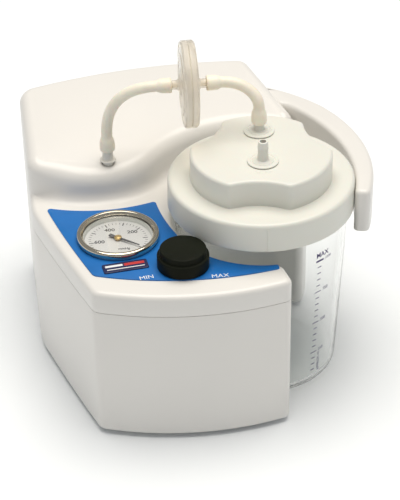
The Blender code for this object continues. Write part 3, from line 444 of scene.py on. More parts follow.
def raised(loop, low, high, edge=0.0, foot=0.0, steps=6):
    """An outline raised from low to high, with its top edge rounded by edge and its bottom by foot."""

    def under(turn):
        return lambda k: (foot * (1 - math.cos(turn)), low + foot * (1 - math.sin(turn)))

    def over(turn):
        return lambda k: (edge * (1 - math.cos(turn)), high - edge * (1 - math.sin(turn)))

    quarter = math.pi / 2
    below = [under(quarter * (1 - n / 3)) for n in range(4)] if foot else [under(0.0)]
    above = [over(quarter * n / steps) for n in range(steps + 1)] if edge else [over(0.0)]
    return lofted(loop, below + above)


def block(low, high, edge=0.0, segments=3):
    """A box between two corners. Its edges are rounded when edge is given."""
    bm = bmesh.new()
    bmesh.ops.create_cube(bm, size=1.0)
    bmesh.ops.scale(bm, vec=[b - a for a, b in zip(low, high)], verts=bm.verts)
    bmesh.ops.translate(bm, vec=[(a + b) / 2 for a, b in zip(low, high)], verts=bm.verts)
    if edge:
        bmesh.ops.bevel(bm, geom=bm.edges[:], offset=edge, segments=segments, profile=0.5,
                        affect="EDGES", material=-1)
    return bm


def merged(parts):
    """Several bmeshes as one, not joined where they meet."""
    whole = bmesh.new()
    for part in parts:
        mesh = bpy.data.meshes.new("part")
        part.to_mesh(mesh)
        part.free()
        whole.from_mesh(mesh)
        bpy.data.meshes.remove(mesh)
    return whole


def lettering(words, size, matrix, weight=0.0, depth=0.02):
    """Raised flat letters, centred, as a bmesh laid by a matrix in millimetres."""
    curve = bpy.data.curves.new("words", "FONT")
    curve.body, curve.size = words, size
    curve.align_x, curve.align_y = "CENTER", "CENTER"
    curve.extrude, curve.offset, curve.resolution_u = depth, weight, 3
    text = bpy.data.objects.new("words", curve)
    bpy.context.scene.collection.objects.link(text)
    graph = bpy.context.evaluated_depsgraph_get()
    mesh = bpy.data.meshes.new_from_object(text.evaluated_get(graph))
    bpy.data.objects.remove(text)
    bm = bmesh.new()
    bm.from_mesh(mesh)
    bmesh.ops.transform(bm, matrix=matrix, verts=bm.verts)
    return bm


def laid(x, y, z, turn=0.0):
    """A matrix that lays a flat mark at a place, turned about Z."""
    return Matrix.Translation((x, y, z)) @ Matrix.Rotation(math.radians(turn), 4, "Z")


def mark(length, width, matrix, depth=0.02):
    """A printed bar."""
    bm = block((-length / 2, -width / 2, -depth), (length / 2, width / 2, depth))
    bmesh.ops.transform(bm, matrix=matrix, verts=bm.verts)
    return bm


def bezier(a, b, c, d, steps):
    """Points of a cubic curve, without its first point."""
    return [a * (1 - t) ** 3 + b * 3 * t * (1 - t) ** 2 + c * 3 * t * t * (1 - t) + d * t**3
            for t in (n / steps for n in range(1, steps + 1))]


def hose(path, outer, inner, steps=24):
    """A soft tube along a path, with an outer and an inner radius for each of its points."""
    bm = bmesh.new()
    side, places = None, []
    for k, point in enumerate(path):
        along = (path[min(k + 1, len(path) - 1)] - path[max(k - 1, 0)]).normalized()
        side = side or along.orthogonal().normalized()
        side = (side - along * side.dot(along)).normalized()
        place = Matrix((side, along.cross(side), along)).transposed().to_4x4()
        place.translation = point
        places.append(place)
    last = len(path) - 1
    order = [(k, outer[k]) for k in range(last + 1)] + [(k, inner[k]) for k in range(last, -1, -1)]
    rings = []
    for k, radius in order:
        ring = bmesh.ops.create_circle(bm, cap_ends=False, radius=radius, segments=steps, matrix=places[k])
        rings.append(sorted({e for v in ring["verts"] for e in v.link_edges}, key=lambda e: e.index))
    for a, b in zip(rings, rings[1:] + rings[:1]):
        bmesh.ops.bridge_loops(bm, edges=a + b)
    return bm


# ---------------------------------------------------------------- plans
def top_z(y):
    """Height of the raised rear, which slopes up to the back."""
    return TOP_Z + (y - TOP_Y) * TOP_SLOPE


def jar_point(angle, radius):
    """A place in plan, by its angle and distance from the jar's axis."""
    turn = math.radians(angle)
    return JAR_X + radius * math.cos(turn), JAR_Y + radius * math.sin(turn)


def hollow_bulge(start, end, radius):
    """The bulge of an edge that follows a circle from the outside, between two angles."""
    return -radius * (1 - math.cos(math.radians(abs(start - end)) / 2))


def wall_x(y, top, bottom):
    """Where a straight side wall of the casing stands at this y."""
    return top[0] + (top[1] - y) * (bottom[0] - top[0]) / (top[1] - bottom[1])


def casing_outline():
    """Round the front, in along the jar recess, and round the back."""
    first, between, last = (jar_point(a, RECESS_R) for a in RECESS_ANGLES)
    return outline([
        (*FRONT_LEFT, 9.0, 11.5, 8),
        (*FRONT_RIGHT, 5.8, 0.0, 1),
        (*first, 5.2, hollow_bulge(*RECESS_ANGLES[:2], RECESS_R), 12),
        (*between, 0.0, hollow_bulge(*RECESS_ANGLES[1:], RECESS_R), 12),
        (*last, 5.2, 0.0, 1),
        (*WALL_RIGHT, 5.4, 0.0, 1),
        *BACK_CORNERS,
        (*WALL_LEFT, 60.0, 0.8, 3),
    ])


def rear_outline():
    """The raised rear: a round brow that turns smoothly into a wide recess behind the lid."""
    across = Vector((BROW_X - JAR_X, BROW_Y - JAR_Y))
    brow_r = across.length - UPPER_RECESS_R
    meet, last = math.degrees(math.atan2(across.y, across.x)), UPPER_RECESS_END
    leave = math.radians(BROW_LEFT_ANGLE)
    start = (BROW_X + brow_r * math.cos(leave), BROW_Y + brow_r * math.sin(leave))
    bulge = brow_r * (1 - math.cos(math.radians(meet + 180 - BROW_LEFT_ANGLE) / 2))
    return outline([
        (wall_x(BROW_CORNER_Y, BACK_LEFT, WALL_LEFT), BROW_CORNER_Y, 14.5, 0.0, 1),
        (*start, 0.0, bulge, 8),
        (*jar_point(meet, UPPER_RECESS_R), 0.0, hollow_bulge(meet, last, UPPER_RECESS_R), 8),
        (*jar_point(last, UPPER_RECESS_R), 9.5, 0.0, 1),
        *BACK_CORNERS,
    ])


def arm_outline():
    """The curved guard beside the jar, from inside the casing's right wall to its free end."""
    low, high = ARM_ROOT
    return outline([
        (*jar_point(-32.0, 66.4), 3.9, 0.0, 1),
        (*jar_point(-31.0, 76.9), 4.4, 15.6, 10),
        (109.5, 44.0, 0.0, 2.2, 4),
        (wall_x(high, BACK_RIGHT, WALL_RIGHT), high, 0.0, 0.0, 1),
        (wall_x(high, BACK_RIGHT, WALL_RIGHT) - 6.0, high - 2.0, 0.0, 0.0, 1),
        (wall_x(low, BACK_RIGHT, WALL_RIGHT) - 6.0, low + 5.0, 0.0, 0.0, 1),
        (wall_x(low, BACK_RIGHT, WALL_RIGHT), low, 0.0, -16.3, 12),
    ])


def dome_outline():
    """The raised middle of the lid: a circle with three shallow round notches."""
    half = math.acos((DOME_R**2 + NOTCH_OFFSET**2 - NOTCH_R**2) / (2 * DOME_R * NOTCH_OFFSET))
    chord = DOME_R * math.sin(half)
    dip = NOTCH_R - math.sqrt(NOTCH_R**2 - chord**2)
    lobe = DOME_R * (1 - math.cos(math.pi / 3 - half))
    corners = []
    for angle in NOTCH_ANGLES:
        for side, bulge, steps in ((-1, -dip, 5), (1, lobe, 6)):
            corners.append((*jar_point(angle + side * math.degrees(half), DOME_R), 5.0, bulge, steps))
    return outline(corners)


def panel_outline():
    """The coloured panel on the console."""
    edge = RECESS_R + 2.1
    return outline([
        (-110.0, 12.6, 2.2, 1.2, 4),
        (-98.4, -79.0, 6.0, 9.4, 9),
        (23.6, -110.2, 1.9, 0.0, 1),
        (*jar_point(262.0, edge), 1.5, hollow_bulge(262.0, 186.0, edge), 12),
        (*jar_point(186.0, edge), 0.0, -1.6, 4),
        (-33.4, -3.2, 2.2, -7.6, 8),
    ])


# ---------------------------------------------------------------- casing
def make_rear(sizes):
    """The raised rear, whose brow flows into the console through a cove and is rounded on top."""
    loop = rear_outline()
    flare = []
    for point in loop:
        reach = min(point.x - wall_x(point.y, BACK_LEFT, WALL_LEFT),
                    wall_x(point.y, BACK_RIGHT, WALL_RIGHT) - point.x)
        share = max(0.0, min(1.0, reach / FLARE_REACH)) if point.y < BROW_Y else 0.0
        flare.append(share * share * (3 - 2 * share))

    def foot(angle):
        def level(k):
            width = sizes.cove * flare[k]
            return (-width * (1 - math.sin(angle)) - 0.04,
                    CONSOLE_Z - 0.05 + width * (1 - math.cos(angle)) + 0.1 * math.sin(angle))
        return level

    def crown(angle):
        def level(k):
            radius = sizes.rear_round * (1 + BROW_SOFTER * flare[k])
            distance = radius * (1 - math.cos(angle)) - 0.04
            return distance, top_z(loop[k].y) - radius * (1 - math.sin(angle))
        return level

    turns = [math.pi / 2 * n / 9 for n in range(10)]
    base = [lambda k: (-sizes.cove * flare[k] - 0.04, PARTING_Z + 0.7)]
    return lofted(loop, base + [foot(t) for t in turns] + [crown(t) for t in turns])


def make_casing(sizes):
    """The casing's two halves, the guard arm and the rubber feet."""
    plan = casing_outline()
    bottom = raised(plan, FLOOR_Z, PARTING_Z - SEAM / 2, 0.5, 2.5, 3)
    piece("casing_base", bottom, "casing", "casing", ("lower_casing",))
    console = raised(plan, PARTING_Z + SEAM / 2, CONSOLE_Z, sizes.console_round, 0.3)
    holes = [turned([(0, 100), (r, 100), (r, 170), (0, 170)], (*at, 0)) for at, r in
             ((GAUGE, GAUGE_HOLE_R), (KNOB, KNOB_HOLE_R), (PORT, PORT_HOLE_R))]
    console = combined(console, holes[:2], "DIFFERENCE")
    top = combined(console, [combined(make_rear(sizes), holes[2:], "DIFFERENCE")])
    piece("casing_top", top, "casing", "casing", ("upper_casing",))
    arm = raised(arm_outline(), ARM_Z0, ARM_Z1, 3.4, 0.8)
    piece("guard_arm", arm, "casing", "casing", ("side_arm",))
    for n in range(1, 5):
        x, y = (middle(f"foot_{n}") - SHIFT).xy
        profile = [(0, 0), *arc(7.0, 1.0, 1.0, -90, 0), (8.0, 2.8), (2.4, 2.8), (2.4, 5.8), (3.1, 6.2),
                   (2.2, 8.4), (0, 8.4)]
        piece(f"rubber_foot_{n}", turned(profile, (x, y, 0), steps=40), "casing",
              "rubber", (f"foot_{n}",))


def make_panel():
    """The printed sheet on the console, its words and its badge plate."""
    sheet = raised(panel_outline(), CONSOLE_Z + 0.03, PANEL_TOP_Z, 0.25, 0, 3)
    hole = [(0, 110), (GAUGE_HOLE_R, 110), (GAUGE_HOLE_R, 130), (0, 130)]
    sheet = combined(sheet, [turned(hole, (*GAUGE, 0), steps=96)], "DIFFERENCE")
    piece("panel_sheet", sheet, "casing", "panel", ("control_panel",))
    words = [lettering(word, 5.6, laid(x, y, PANEL_TOP_Z + PRINT_LIFT, turn))
             for word, x, y, turn in (("MIN", -64.9, -92.6, -2), ("MAX", -17.4, -106.2, -10))]
    piece("panel_words", merged(words), "casing", "print_white")
    bed = laid(*BADGE, PANEL_TOP_Z, BADGE_TURN)
    corners = [(x * BADGE_HALF_X, y * BADGE_HALF_Y, 1.4, 0.0, 1)
               for x, y in ((-1, -1), (1, -1), (1, 1), (-1, 1))]
    plate = raised(outline(corners), 0.0, 0.9, 0.3, 0, 3)
    bmesh.ops.transform(plate, matrix=bed, verts=plate.verts)
    piece("badge_plate", plate, "casing", "badge", ("panel_badge",))
    above = bed @ Matrix.Translation((0, 0, 0.92))
    piece("badge_bar", mark(14.0, 2.8, above @ Matrix.Translation((6.4, 1.7, 0))), "casing",
          "badge_red")
    lines = [mark(12.0, 2.2, above @ Matrix.Translation((-7.6, 1.7, 0))),
             mark(26.0, 0.8, above @ Matrix.Translation((0, -2.2, 0)))]
    piece("badge_lines", merged(lines), "casing", "print_white")


# ---------------------------------------------------------------- gauge
def dial_place(value, radius):
    """Where a value stands on the dial, as a matrix whose X points outwards."""
    angle = DIAL_ZERO + DIAL_STEP * value / 100
    turn = math.radians(angle)
    x, y = GAUGE[0] + radius * math.cos(turn), GAUGE[1] + radius * math.sin(turn)
    return laid(x, y, DIAL_Z + PRINT_LIFT, angle)


def make_gauge():
    """The vacuum gauge: cup, plated well, bezel, lens, dial with its print, and needle."""
    at = (*GAUGE, 0)
    cup = [(0, 99), (25.4, 99), (25.6, 100), (25.6, 122.1), (28.0, 122.1), (28.0, 122.9), (24.4, 122.9),
           (24.4, 100.4), (0, 100.4)]
    well = [(24.3, 119.6), (24.3, 123.3), (24.0, 123.3), (23.4, 119.9), (23.4, 119.6)]
    piece("gauge_cup", turned(cup, at, steps=96), "casing", "steel", ("gauge_case",))
    piece("gauge_well", turned(well, at, steps=96), "casing", "well")
    rim = [(24.3, 125.4), (24.6, 124.7), (26.2, 124.7), (26.2, 123.2), *arc(28.1, 123.7, 0.5, -90, 0, 3),
           *arc(26.9, 125.5, 1.7, 0, 90, 8), *arc(26.1, 126.3, 0.9, 90, 130, 3), (24.7, 125.9)]
    piece("chrome_bezel", turned(rim, at, steps=128), "casing", "chrome",
          ("gauge_bezel",), 50.0)
    lens = [(0, 123.4), (26.0, 123.4), (26.0, 124.4), (0, 124.6)]
    piece("gauge_window", turned(lens, at, steps=96), "casing", "glass", ("gauge_lens",))
    dial = [(1.2, 119.5), (DIAL_R, 119.5), (DIAL_R, DIAL_Z), (1.2, DIAL_Z)]
    piece("dial_face", turned(dial, at, steps=96), "casing", "dial", ("gauge_dial",))
    marks = []
    for value in range(0, 641, 20):
        length, width = (3.4, 0.75) if value % 100 == 0 else (1.8, 0.36)
        marks.append(mark(length, width, dial_place(value, MARK_R - length / 2)))
    for value in (200, 400, 600):
        spot = dial_place(value, NUMBER_R).translation
        marks.append(lettering(str(value), 4.9, laid(*spot, DIAL_TILT), 0.12))
    spot = (GAUGE[0] + 1.0, GAUGE[1] - 12.0, DIAL_Z + PRINT_LIFT)
    marks.append(lettering("mmHg", 3.0, laid(*spot, DIAL_TILT), 0.08))
    piece("dial_print", merged(marks), "casing", "print_black")
    hub = [(0, 112.2), (0.8, 112.2), (0.8, 121.0), (2.6, 121.0), *arc(1.9, 121.8, 0.7, 0, 90, 4),
           (0, 122.6)]
    piece("needle_hub", turned(hub, at, steps=40), "needle", "brass")
    blade = outline([(17.6, -0.3, 0, 0, 1), (17.6, 0.3, 0, 0, 1), (-1.0, 0.95, 0, 0, 1),
                     (-7.2, 1.5, 0.5, 0, 1), (-7.2, -1.5, 0.5, 0, 1), (-1.0, -0.95, 0, 0, 1)], 1)
    blade = raised(blade, 121.2, 121.7)
    bmesh.ops.transform(blade, matrix=laid(*GAUGE, 0, DIAL_ZERO), verts=blade.verts)
    piece("needle_blade", blade, "needle", "print_black", ("gauge_needle",))


# ---------------------------------------------------------------- regulator
def make_regulator():
    """The regulator's knob, whose upper rim is pressed into flat facets."""
    profile = [(0, 127.2), (9.5, 127.2), (9.5, 122.3), *arc(17.3, 122.8, 0.5, -90, 0, 3),
               *arc(17.1, 130.6, 0.7, 0, 90, 3), (16.25, 131.5), (16.0, 131.9), (16.0, 133.4), (16.0, 134.8),
               *arc(14.9, 135.1, 1.1, 0, 90, 5), (12.6, 135.9), (0, 135.7)]
    knob = turned(profile, (0, 0, 0), steps=GRIP_FACETS * 6)
    step = math.tau / GRIP_FACETS
    for v in knob.verts:
        radius = v.co.xy.length
        if radius > GRIP_R and v.co.z > GRIP_Z:
            away = math.atan2(v.co.y, v.co.x) % step - step / 2
            flat = math.cos(step / 2) / math.cos(away)
            v.co.x, v.co.y = v.co.x * flat, v.co.y * flat
    bmesh.ops.translate(knob, vec=(*KNOB, 0), verts=knob.verts)
    piece("knob_cap", knob, "regulator", "knob", ("regulator_knob",), 24.0)


# ---------------------------------------------------------------- port, hoses and filter
def hose_route(end, low, high, toward, side):
    """A hose's line: straight up off its nipple, over in one bend, and straight onto the filter."""
    start = Vector((*end, low))
    axis = Vector((math.cos(FILTER_TURN), math.sin(FILTER_TURN), 0.0)) * side
    rise = [0, 0.6, 1.6, 3, 5, 7, 8.6, 9.8, 11, 12.4]
    path = [start + Vector((0, 0, h)) for h in rise]
    path += bezier(path[-1], Vector((*end, high)), FILTER + axis * toward, FILTER + axis * 22.8, 30)
    path += [FILTER + axis * d for d in (21.9, 20.8, 19.6, 17.6, 15.4, 13.6, 12.6, 12.2)]
    count = len(path)
    outer = [4.7, 5.2, 5.5, 5.6, 5.5, 5.3, 5.1, 4.6, 4.15, HOSE_R] + [HOSE_R] * (count - 18)
    outer += [4.15, 4.7, 5.1, 5.3, 5.35, 5.45, 5.4, 5.1]
    inner = [4.0] * 7 + [3.7, 2.9, 2.4] + [2.4] * (count - 18) + [2.5, 3.0, 3.5, 3.5, 3.5, 3.5, 3.5, 3.6]
    return path, outer, inner


def make_hoses():
    """The port on the casing, the filter and the hose on each side of it."""
    base = top_z(PORT[1])
    profile = [(1.6, 129), (2.5, 129), (2.5, 138), (3.9, 138.6), (3.9, base + 0.8), (5.8, base + 1.1),
               *arc(5.3, base + 1.5, 0.5, 0, 90, 3), (4.2, base + 2.1), (3.95, base + 2.6), (3.7, 156),
               (3.7, 160), (3.2, 162.6), (1.6, 162.6)]
    piece("port_nipple", turned(profile, (*PORT, 0), steps=48), "casing", "port",
          ("vacuum_port",))
    place = Matrix.Translation(FILTER) @ Matrix.Rotation(FILTER_TURN, 4, "Z")
    shell = [(1.6, 3.4), (20, 1.2), (26.0, 1.2), (26.0, 0.15), (30.1, 0.15), (30.5, 0.5), (30.5, 3.6),
             (29.4, 4.9), (27.6, 5.1), (27.2, 4.8), (22.2, 5.2), (21.8, 5.7), (16.4, 6.0), (16.0, 5.7),
             (10.2, 6.1), (9.0, 6.6), (4.4, 7.2), (3.3, 8.4), (3.2, 16.8), (1.6, 16.8)]
    for name, side in (("inlet", math.pi), ("outlet", 0.0)):
        half = turned(shell, along="X", steps=96)
        bmesh.ops.transform(half, matrix=place @ Matrix.Rotation(side, 4, "Z"), verts=half.verts)
        piece(f"filter_shell_{name}", half, "hoses", "filter", (f"filter_{name}_half",))
    paper = turned([(0, -0.3), (25.6, -0.3), (25.6, 0.3), (0, 0.3)], along="X", steps=96)
    bmesh.ops.transform(paper, matrix=place, verts=paper.verts)
    piece("filter_paper", paper, "hoses", "paper", ("filter_membrane",))
    route = hose_route(PORT, 154.6, 196, 42, -1)
    piece("port_to_filter_hose", hose(*route), "hoses", "hose",
          ("hose_casing_to_filter",), 60.0)
    route = hose_route(VACUUM_NIPPLE, 180.4, 203, 38, 1)
    piece("filter_to_lid_hose", hose(*route), "hoses", "hose",
          ("hose_filter_to_lid",), 60.0)


# ---------------------------------------------------------------- jar and lid
def make_lid():
    """The jar's lid with its raised middle, its gasket, its ridge, its label and its two nipples."""
    at = (JAR_X, JAR_Y, 0)
    profile = [(0, 150.0), (48.0, 150.0), (48.0, 151.7), (62.7, 151.7), (62.9, LID_Z0 + 1.0),
               (63.4, LID_Z0), (65.0, LID_Z0), (65.6, LID_Z0 + 0.8), (65.5, 142.0), (LID_R, 150.4),
               *arc(LID_R - 3.0, LID_Z1 - 3.0, 3.0, 8, 90, 7), (0, LID_Z1)]
    lid = turned(profile, at, steps=144)
    dome = dome_outline()
    lid = combined(lid, [raised(dome, LID_Z1 - 3, DOME_TOP_Z, 2.4, 0, 6)])
    core = raised(inset(dome, LID_WALL), 140, DOME_TOP_Z - LID_WALL, 1.0, 0, 2)
    bores = [turned([(0, 160), (4.3, 160), (4.3, 180), (0, 180)], (*spot, 0), steps=32)
             for spot in (VACUUM_NIPPLE, PATIENT_NIPPLE)]
    lid = combined(lid, [core, *bores], "DIFFERENCE")
    seam = jar_point(RIDGE_ANGLE, LID_R + 0.15)
    ridge = block((-0.25, -0.3, LID_Z0 + 0.8), (0.25, 0.3, LID_Z1 - 3.2), 0.1, 2)
    bmesh.ops.transform(ridge, matrix=laid(*seam, 0, RIDGE_ANGLE + 90), verts=ridge.verts)
    label_bed = laid(PATIENT_NIPPLE[0] - 3.6, PATIENT_NIPPLE[1] - 13.6, DOME_TOP_Z, -14)
    piece("lid_label", lettering("PATIENT", 3.0, label_bed, depth=0.1), "lid", "lid")
    piece("lid_shell", combined(lid, [ridge]), "lid", "lid", ("jar_lid",))
    ring = [(57.6, 150.2), (61.6, 150.2), (61.6, 151.4), (57.6, 151.4)]
    piece("lid_seal", turned(ring, at, steps=96), "lid", "gasket", ("lid_gasket",))
    nipple = [(2.2, 166), (3.9, 166), (3.9, 173.8), (10.5, 173.8), *arc(10.4, 174.3, 0.5, -90, 90, 5),
              (8.6, 174.9), (8.2, 174.55), (7.6, 174.55), (7.2, 174.95), (4.8, 175.1), (4.0, 175.6),
              (3.75, 178.0), (3.5, 184), (3.8, 184.4), *arc(2.9, 189.1, 0.5, 20, 90, 3), (2.2, 189.6)]
    for name, spot in (("patient", PATIENT_NIPPLE), ("vacuum", VACUUM_NIPPLE)):
        piece(f"{name}_spigot", turned(nipple, (*spot, 0), steps=56), "lid", "lid",
              (f"{name}_nipple",))


def jar_place(angle, z, radius):
    """A matrix that lays a mark on the jar's outside: X round it, Y up, Z outwards."""
    turn = math.radians(angle)
    out = Vector((math.cos(turn), math.sin(turn), 0))
    along = Vector((-math.sin(turn), math.cos(turn), 0))
    place = Matrix((along, Vector((0, 0, 1)), out)).transposed().to_4x4()
    place.translation = Vector((*jar_point(angle, radius), z))
    return place


def make_jar():
    """The clear jar and the scale printed on it."""
    at = (JAR_X, JAR_Y, 0)
    r0, r1, wall = JAR_BASE_R, JAR_NECK_R, JAR_WALL
    profile = [(0, 0.9), (44, 0.9), (45.5, 0.5), *arc(r0 - 7, JAR_CURVE_Z, 7.0, -90, 0, 9),
               (r1, JAR_SHOULDER_Z), (r1, 143), (r1 + 0.8, 144), (r1 + 0.8, 146), (r1, 147),
               *arc(r1 - 0.6, 149.4, 0.6, 0, 90, 3), (r1 - wall, 150.0), (r1 - wall, JAR_SHOULDER_Z),
               *arc(r0 - wall - 6.2, 9.4, 6.0, 0, -90, 8), (0, 3.4)]
    piece("jar_shell", turned(profile, at, steps=144), "jar_body", "jar", ("jar",))
    marks = []

    def skin(z):
        """Distance from the jar's axis to just outside its wall, at a height."""
        share = min(1.0, (z - JAR_CURVE_Z) / (JAR_SHOULDER_Z - JAR_CURVE_Z))
        return r0 + (r1 - r0) * share + 0.06

    for n in range(2, 21):
        z = SCALE_FIRST_Z + SCALE_STEP * (n / 5 - 1)
        major = n % 5 == 0
        length = 7.0 if n == 20 else 6.0 if major else 3.4
        width = 1.5 if n == 20 else 0.7
        marks.append(mark(length, width, jar_place(SCALE_ANGLE, z, skin(z)), 0.01))
        if major and n < 20:
            words = jar_place(SCALE_ANGLE + 7.2, z + 0.2, skin(z))
            marks.append(lettering(str(n * 50), 3.6, words, 0.04, 0.01))
    marks.append(lettering("MAX", 5.4, jar_place(SCALE_ANGLE + 2.2, 117.0, skin(117.0)), 0.12, 0.01))
    marks.append(lettering("1000", 3.2, jar_place(SCALE_ANGLE + 7.6, 112.3, skin(112.3)), 0.03, 0.01))
    upright = jar_place(SCALE_ANGLE + 5.4, 20.0, skin(22.0)) @ Matrix.Rotation(math.pi / 2, 4, "Z")
    marks.append(lettering("APPROX ml", 3.3, upright, 0.03, 0.01))
    piece("jar_scale", merged(marks), "jar_body", "print_violet")


# ---------------------------------------------------------------- back wall and works
def make_back_wall():
    """The on and off marks on the rocker, and the mains inlet's three pins."""
    x, y, z = SWITCH
    tilt = Matrix.Translation((x, y - 0.6, z)) @ Matrix.Rotation(ROCKER_TURN, 4, "Z")
    on_place = tilt @ Matrix.Translation((-4.2, 2.62, 0)) @ Matrix.Rotation(-math.pi / 2, 4, "X")
    off = turned([(1.3, -0.02), (1.8, -0.02), (1.8, 0.02), (1.3, 0.02)], along="Y", steps=32)
    bmesh.ops.transform(off, matrix=tilt @ Matrix.Translation((4.2, 2.62, 0)), verts=off.verts)
    signs = merged([mark(0.7, 3.2, on_place), off])
    piece("rocker_signs", signs, "switch", "print_white")
    x, y, z = INLET
    pins = [block((x + dx - 1.05, y - 14.9, z + dz - 2.05), (x + dx + 1.05, y - 1.3, z + dz + 2.05), 0.35)
            for dx, dz in ((-7.0, 4.0), (0.0, 8.0), (7.0, 4.0))]
    piece("inlet_pins", merged(pins), "casing", "steel")


NODE_FINISHES = {
    "steel": ("casing_screw_1", "casing_screw_2", "casing_screw_3", "casing_screw_4", "arm_bolt_front",
              "arm_bolt_rear", "regulator_stem", "regulator_nut", "crankshaft", "pump_chassis",
              "motor_housing", "connecting_rod"),
    "aluminium": ("pump_frame", "pump_head"),
    "brass": ("gauge_stem", "gauge_movement", "regulator_body", "bourdon_tube", "exhaust_silencer"),
    "black": ("motor_fan", "switch_frame", "power_rocker", "mains_inlet", "fuse_drawer"),
    "rubber": ("pump_mount_left", "pump_mount_right", "diaphragm"),
    "hose": ("pump_hose", "gauge_hose", "port_hose"),
    "lid": ("float_cage",),
    "red": ("float_ball",),
}


def finish_works():
    """Gives each working part that stays in sight its own finish."""
    for finish, nodes in NODE_FINISHES.items():
        for node in nodes:
            materials = frame["nodes"][node].data.materials
            materials.clear()
            materials.append(FINISHES[finish])


# ---------------------------------------------------------------- stage
def soft_light(name, place, aim, width, power, colour):
    """A round soft light, turned towards the place that it aims at."""
    light = bpy.data.lights.new(name, "AREA")
    light.shape, light.size, light.energy, light.color = "DISK", width, power, colour
    made = bpy.data.objects.new(name, light)
    made.location = place
    made.rotation_euler = (Vector(aim) - Vector(place)).to_track_quat("-Z", "Y").to_euler()
    bpy.context.scene.collection.objects.link(made)


def make_floor(sizes):
    """A plain floor, a hair under the pump's feet."""
    floor = bmesh.new()
    bmesh.ops.create_grid(floor, x_segments=2, y_segments=2, size=FLOOR_SIZE)
    bmesh.ops.translate(floor, vec=(0, 0, -FLOOR_DROP), verts=floor.verts)
    mesh = bpy.data.meshes.new("floor")
    floor.to_mesh(mesh)
    floor.free()
    mesh.materials.append(surface("floor pale", tuple(sizes.floor), 0.9, mottle=0.0))
    ground = bpy.data.objects.new("floor", mesh)
    bpy.context.scene.collection.objects.link(ground)


def make_world(sizes):
    """Even light from all round, with a paler backdrop where the camera sees past the floor."""
    world = bpy.data.worlds.new("studio")
    world.use_nodes = True
    nodes, links = world.node_tree.nodes, world.node_tree.links
    sky = nodes["Background"]
    sky.inputs["Color"].default_value = SKY_COLOUR
    sky.inputs["Strength"].default_value = sizes.ambient
    backdrop = nodes.new("ShaderNodeBackground")
    backdrop.inputs["Color"].default_value = BACKDROP_COLOUR
    rays = nodes.new("ShaderNodeLightPath")
    either = nodes.new("ShaderNodeMixShader")
    links.new(rays.outputs["Is Camera Ray"], either.inputs["Fac"])
    links.new(sky.outputs["Background"], either.inputs[1])
    links.new(backdrop.outputs["Background"], either.inputs[2])
    links.new(either.outputs["Shader"], nodes["World Output"].inputs["Surface"])
    bpy.context.scene.world = world


def make_camera():
    """The camera, at a turn, a rise and a roll about the point that it looks at."""
    azimuth, elevation, roll = (math.radians(a) for a in (CAMERA_TURN, CAMERA_RISE, CAMERA_ROLL))
    back = Vector((math.sin(azimuth) * math.cos(elevation), -math.cos(azimuth) * math.cos(elevation),
                   math.sin(elevation)))
    right = Vector((math.cos(azimuth), math.sin(azimuth), 0))
    up = back.cross(right)
    side = right * math.cos(roll) + up * math.sin(roll)
    head = up * math.cos(roll) - right * math.sin(roll)
    camera = bpy.data.objects.new("camera", bpy.data.cameras.new("camera"))
    camera.data.lens = CAMERA_LENS
    place = Matrix((side, head, back)).transposed().to_4x4()
    place.translation = Vector(CAMERA_AIM) + SHIFT * MM + back * CAMERA_DISTANCE
    camera.matrix_world = place
    bpy.context.scene.collection.objects.link(camera)
    bpy.context.scene.camera = camera


def make_stage(sizes):
    """The floor, the world, the overhead light and the camera."""
    make_floor(sizes)
    make_world(sizes)
    bpy.context.scene.view_settings.view_transform = "Standard"
    soft_light("overhead", OVERHEAD_PLACE, LIGHT_AIM, OVERHEAD_WIDTH, sizes.overhead, OVERHEAD_COLOUR)
    make_camera()


# ---------------------------------------------------------------- add-on
def colour(label, description, value):
    """A colour setting, shown as a swatch."""
    return FloatVectorProperty(name=label, description=description, default=value, size=3, min=0, max=1,
                               subtype="COLOR")


class PumpLooks(bpy.types.PropertyGroup):
    """Sizes and colours that a user would change. Sizes are in millimetres."""

    casing: colour("Casing", "Moulded casing and guard arm", (0.80, 0.775, 0.735))
    panel: colour("Panel", "Printed panel on the console", (0.010, 0.150, 0.47))
    knob: colour("Knob", "Regulator knob", (0.006, 0.0075, 0.003))
    lid: colour("Lid", "Jar lid and its nipples", (0.77, 0.763, 0.695))
    hose: colour("Hoses", "Silicone hoses", (0.95, 0.875, 0.735))
    floor: colour("Floor", "Studio floor", (0.93, 0.955, 0.975))
    rear_round: FloatProperty(name="Rear edge", description="Rounding of the raised rear, in mm",
                              default=8.0, min=1.0, max=9.0)
    console_round: FloatProperty(name="Console edge", description="Rounding of the console, in mm",
                                 default=4.0, min=0.5, max=4.4)
    cove: FloatProperty(name="Cove", description="Rounding where the rear meets the console, in mm",
                        default=8.5, min=0.0, max=9.0)
    ambient: FloatProperty(name="Ambient", description="Strength of the studio's even light",
                           default=0.33, min=0.0, max=2.0)
    overhead: FloatProperty(name="Overhead", description="Power of the overhead light", default=94.0,
                            min=0.0, unit="POWER")


def settings(context):
    """The panel's settings, once every finish has been made from them."""
    sizes = context.scene.pump_looks
    finishes(sizes)
    return sizes


class PUMP_OT_stage(bpy.types.Operator):
    """Make the floor, the light and the camera"""

    bl_idname = "pump.stage"
    bl_label = "Stage"
    bl_options = {"REGISTER", "UNDO"}

    def execute(self, context):
        make_stage(settings(context))
        return {"FINISHED"}


class PUMP_OT_hoses(bpy.types.Operator):
    """Make the port, both hoses and the filter"""

    bl_idname = "pump.hoses"
    bl_label = "Hoses and filter"
    bl_options = {"REGISTER", "UNDO"}

    def execute(self, context):
        settings(context)
        make_hoses()
        return {"FINISHED"}


class PUMP_OT_casing(bpy.types.Operator):
    """Make the casing, the guard arm and the feet"""

    bl_idname = "pump.casing"
    bl_label = "Casing"
    bl_options = {"REGISTER", "UNDO"}

    def execute(self, context):
        make_casing(settings(context))
        return {"FINISHED"}


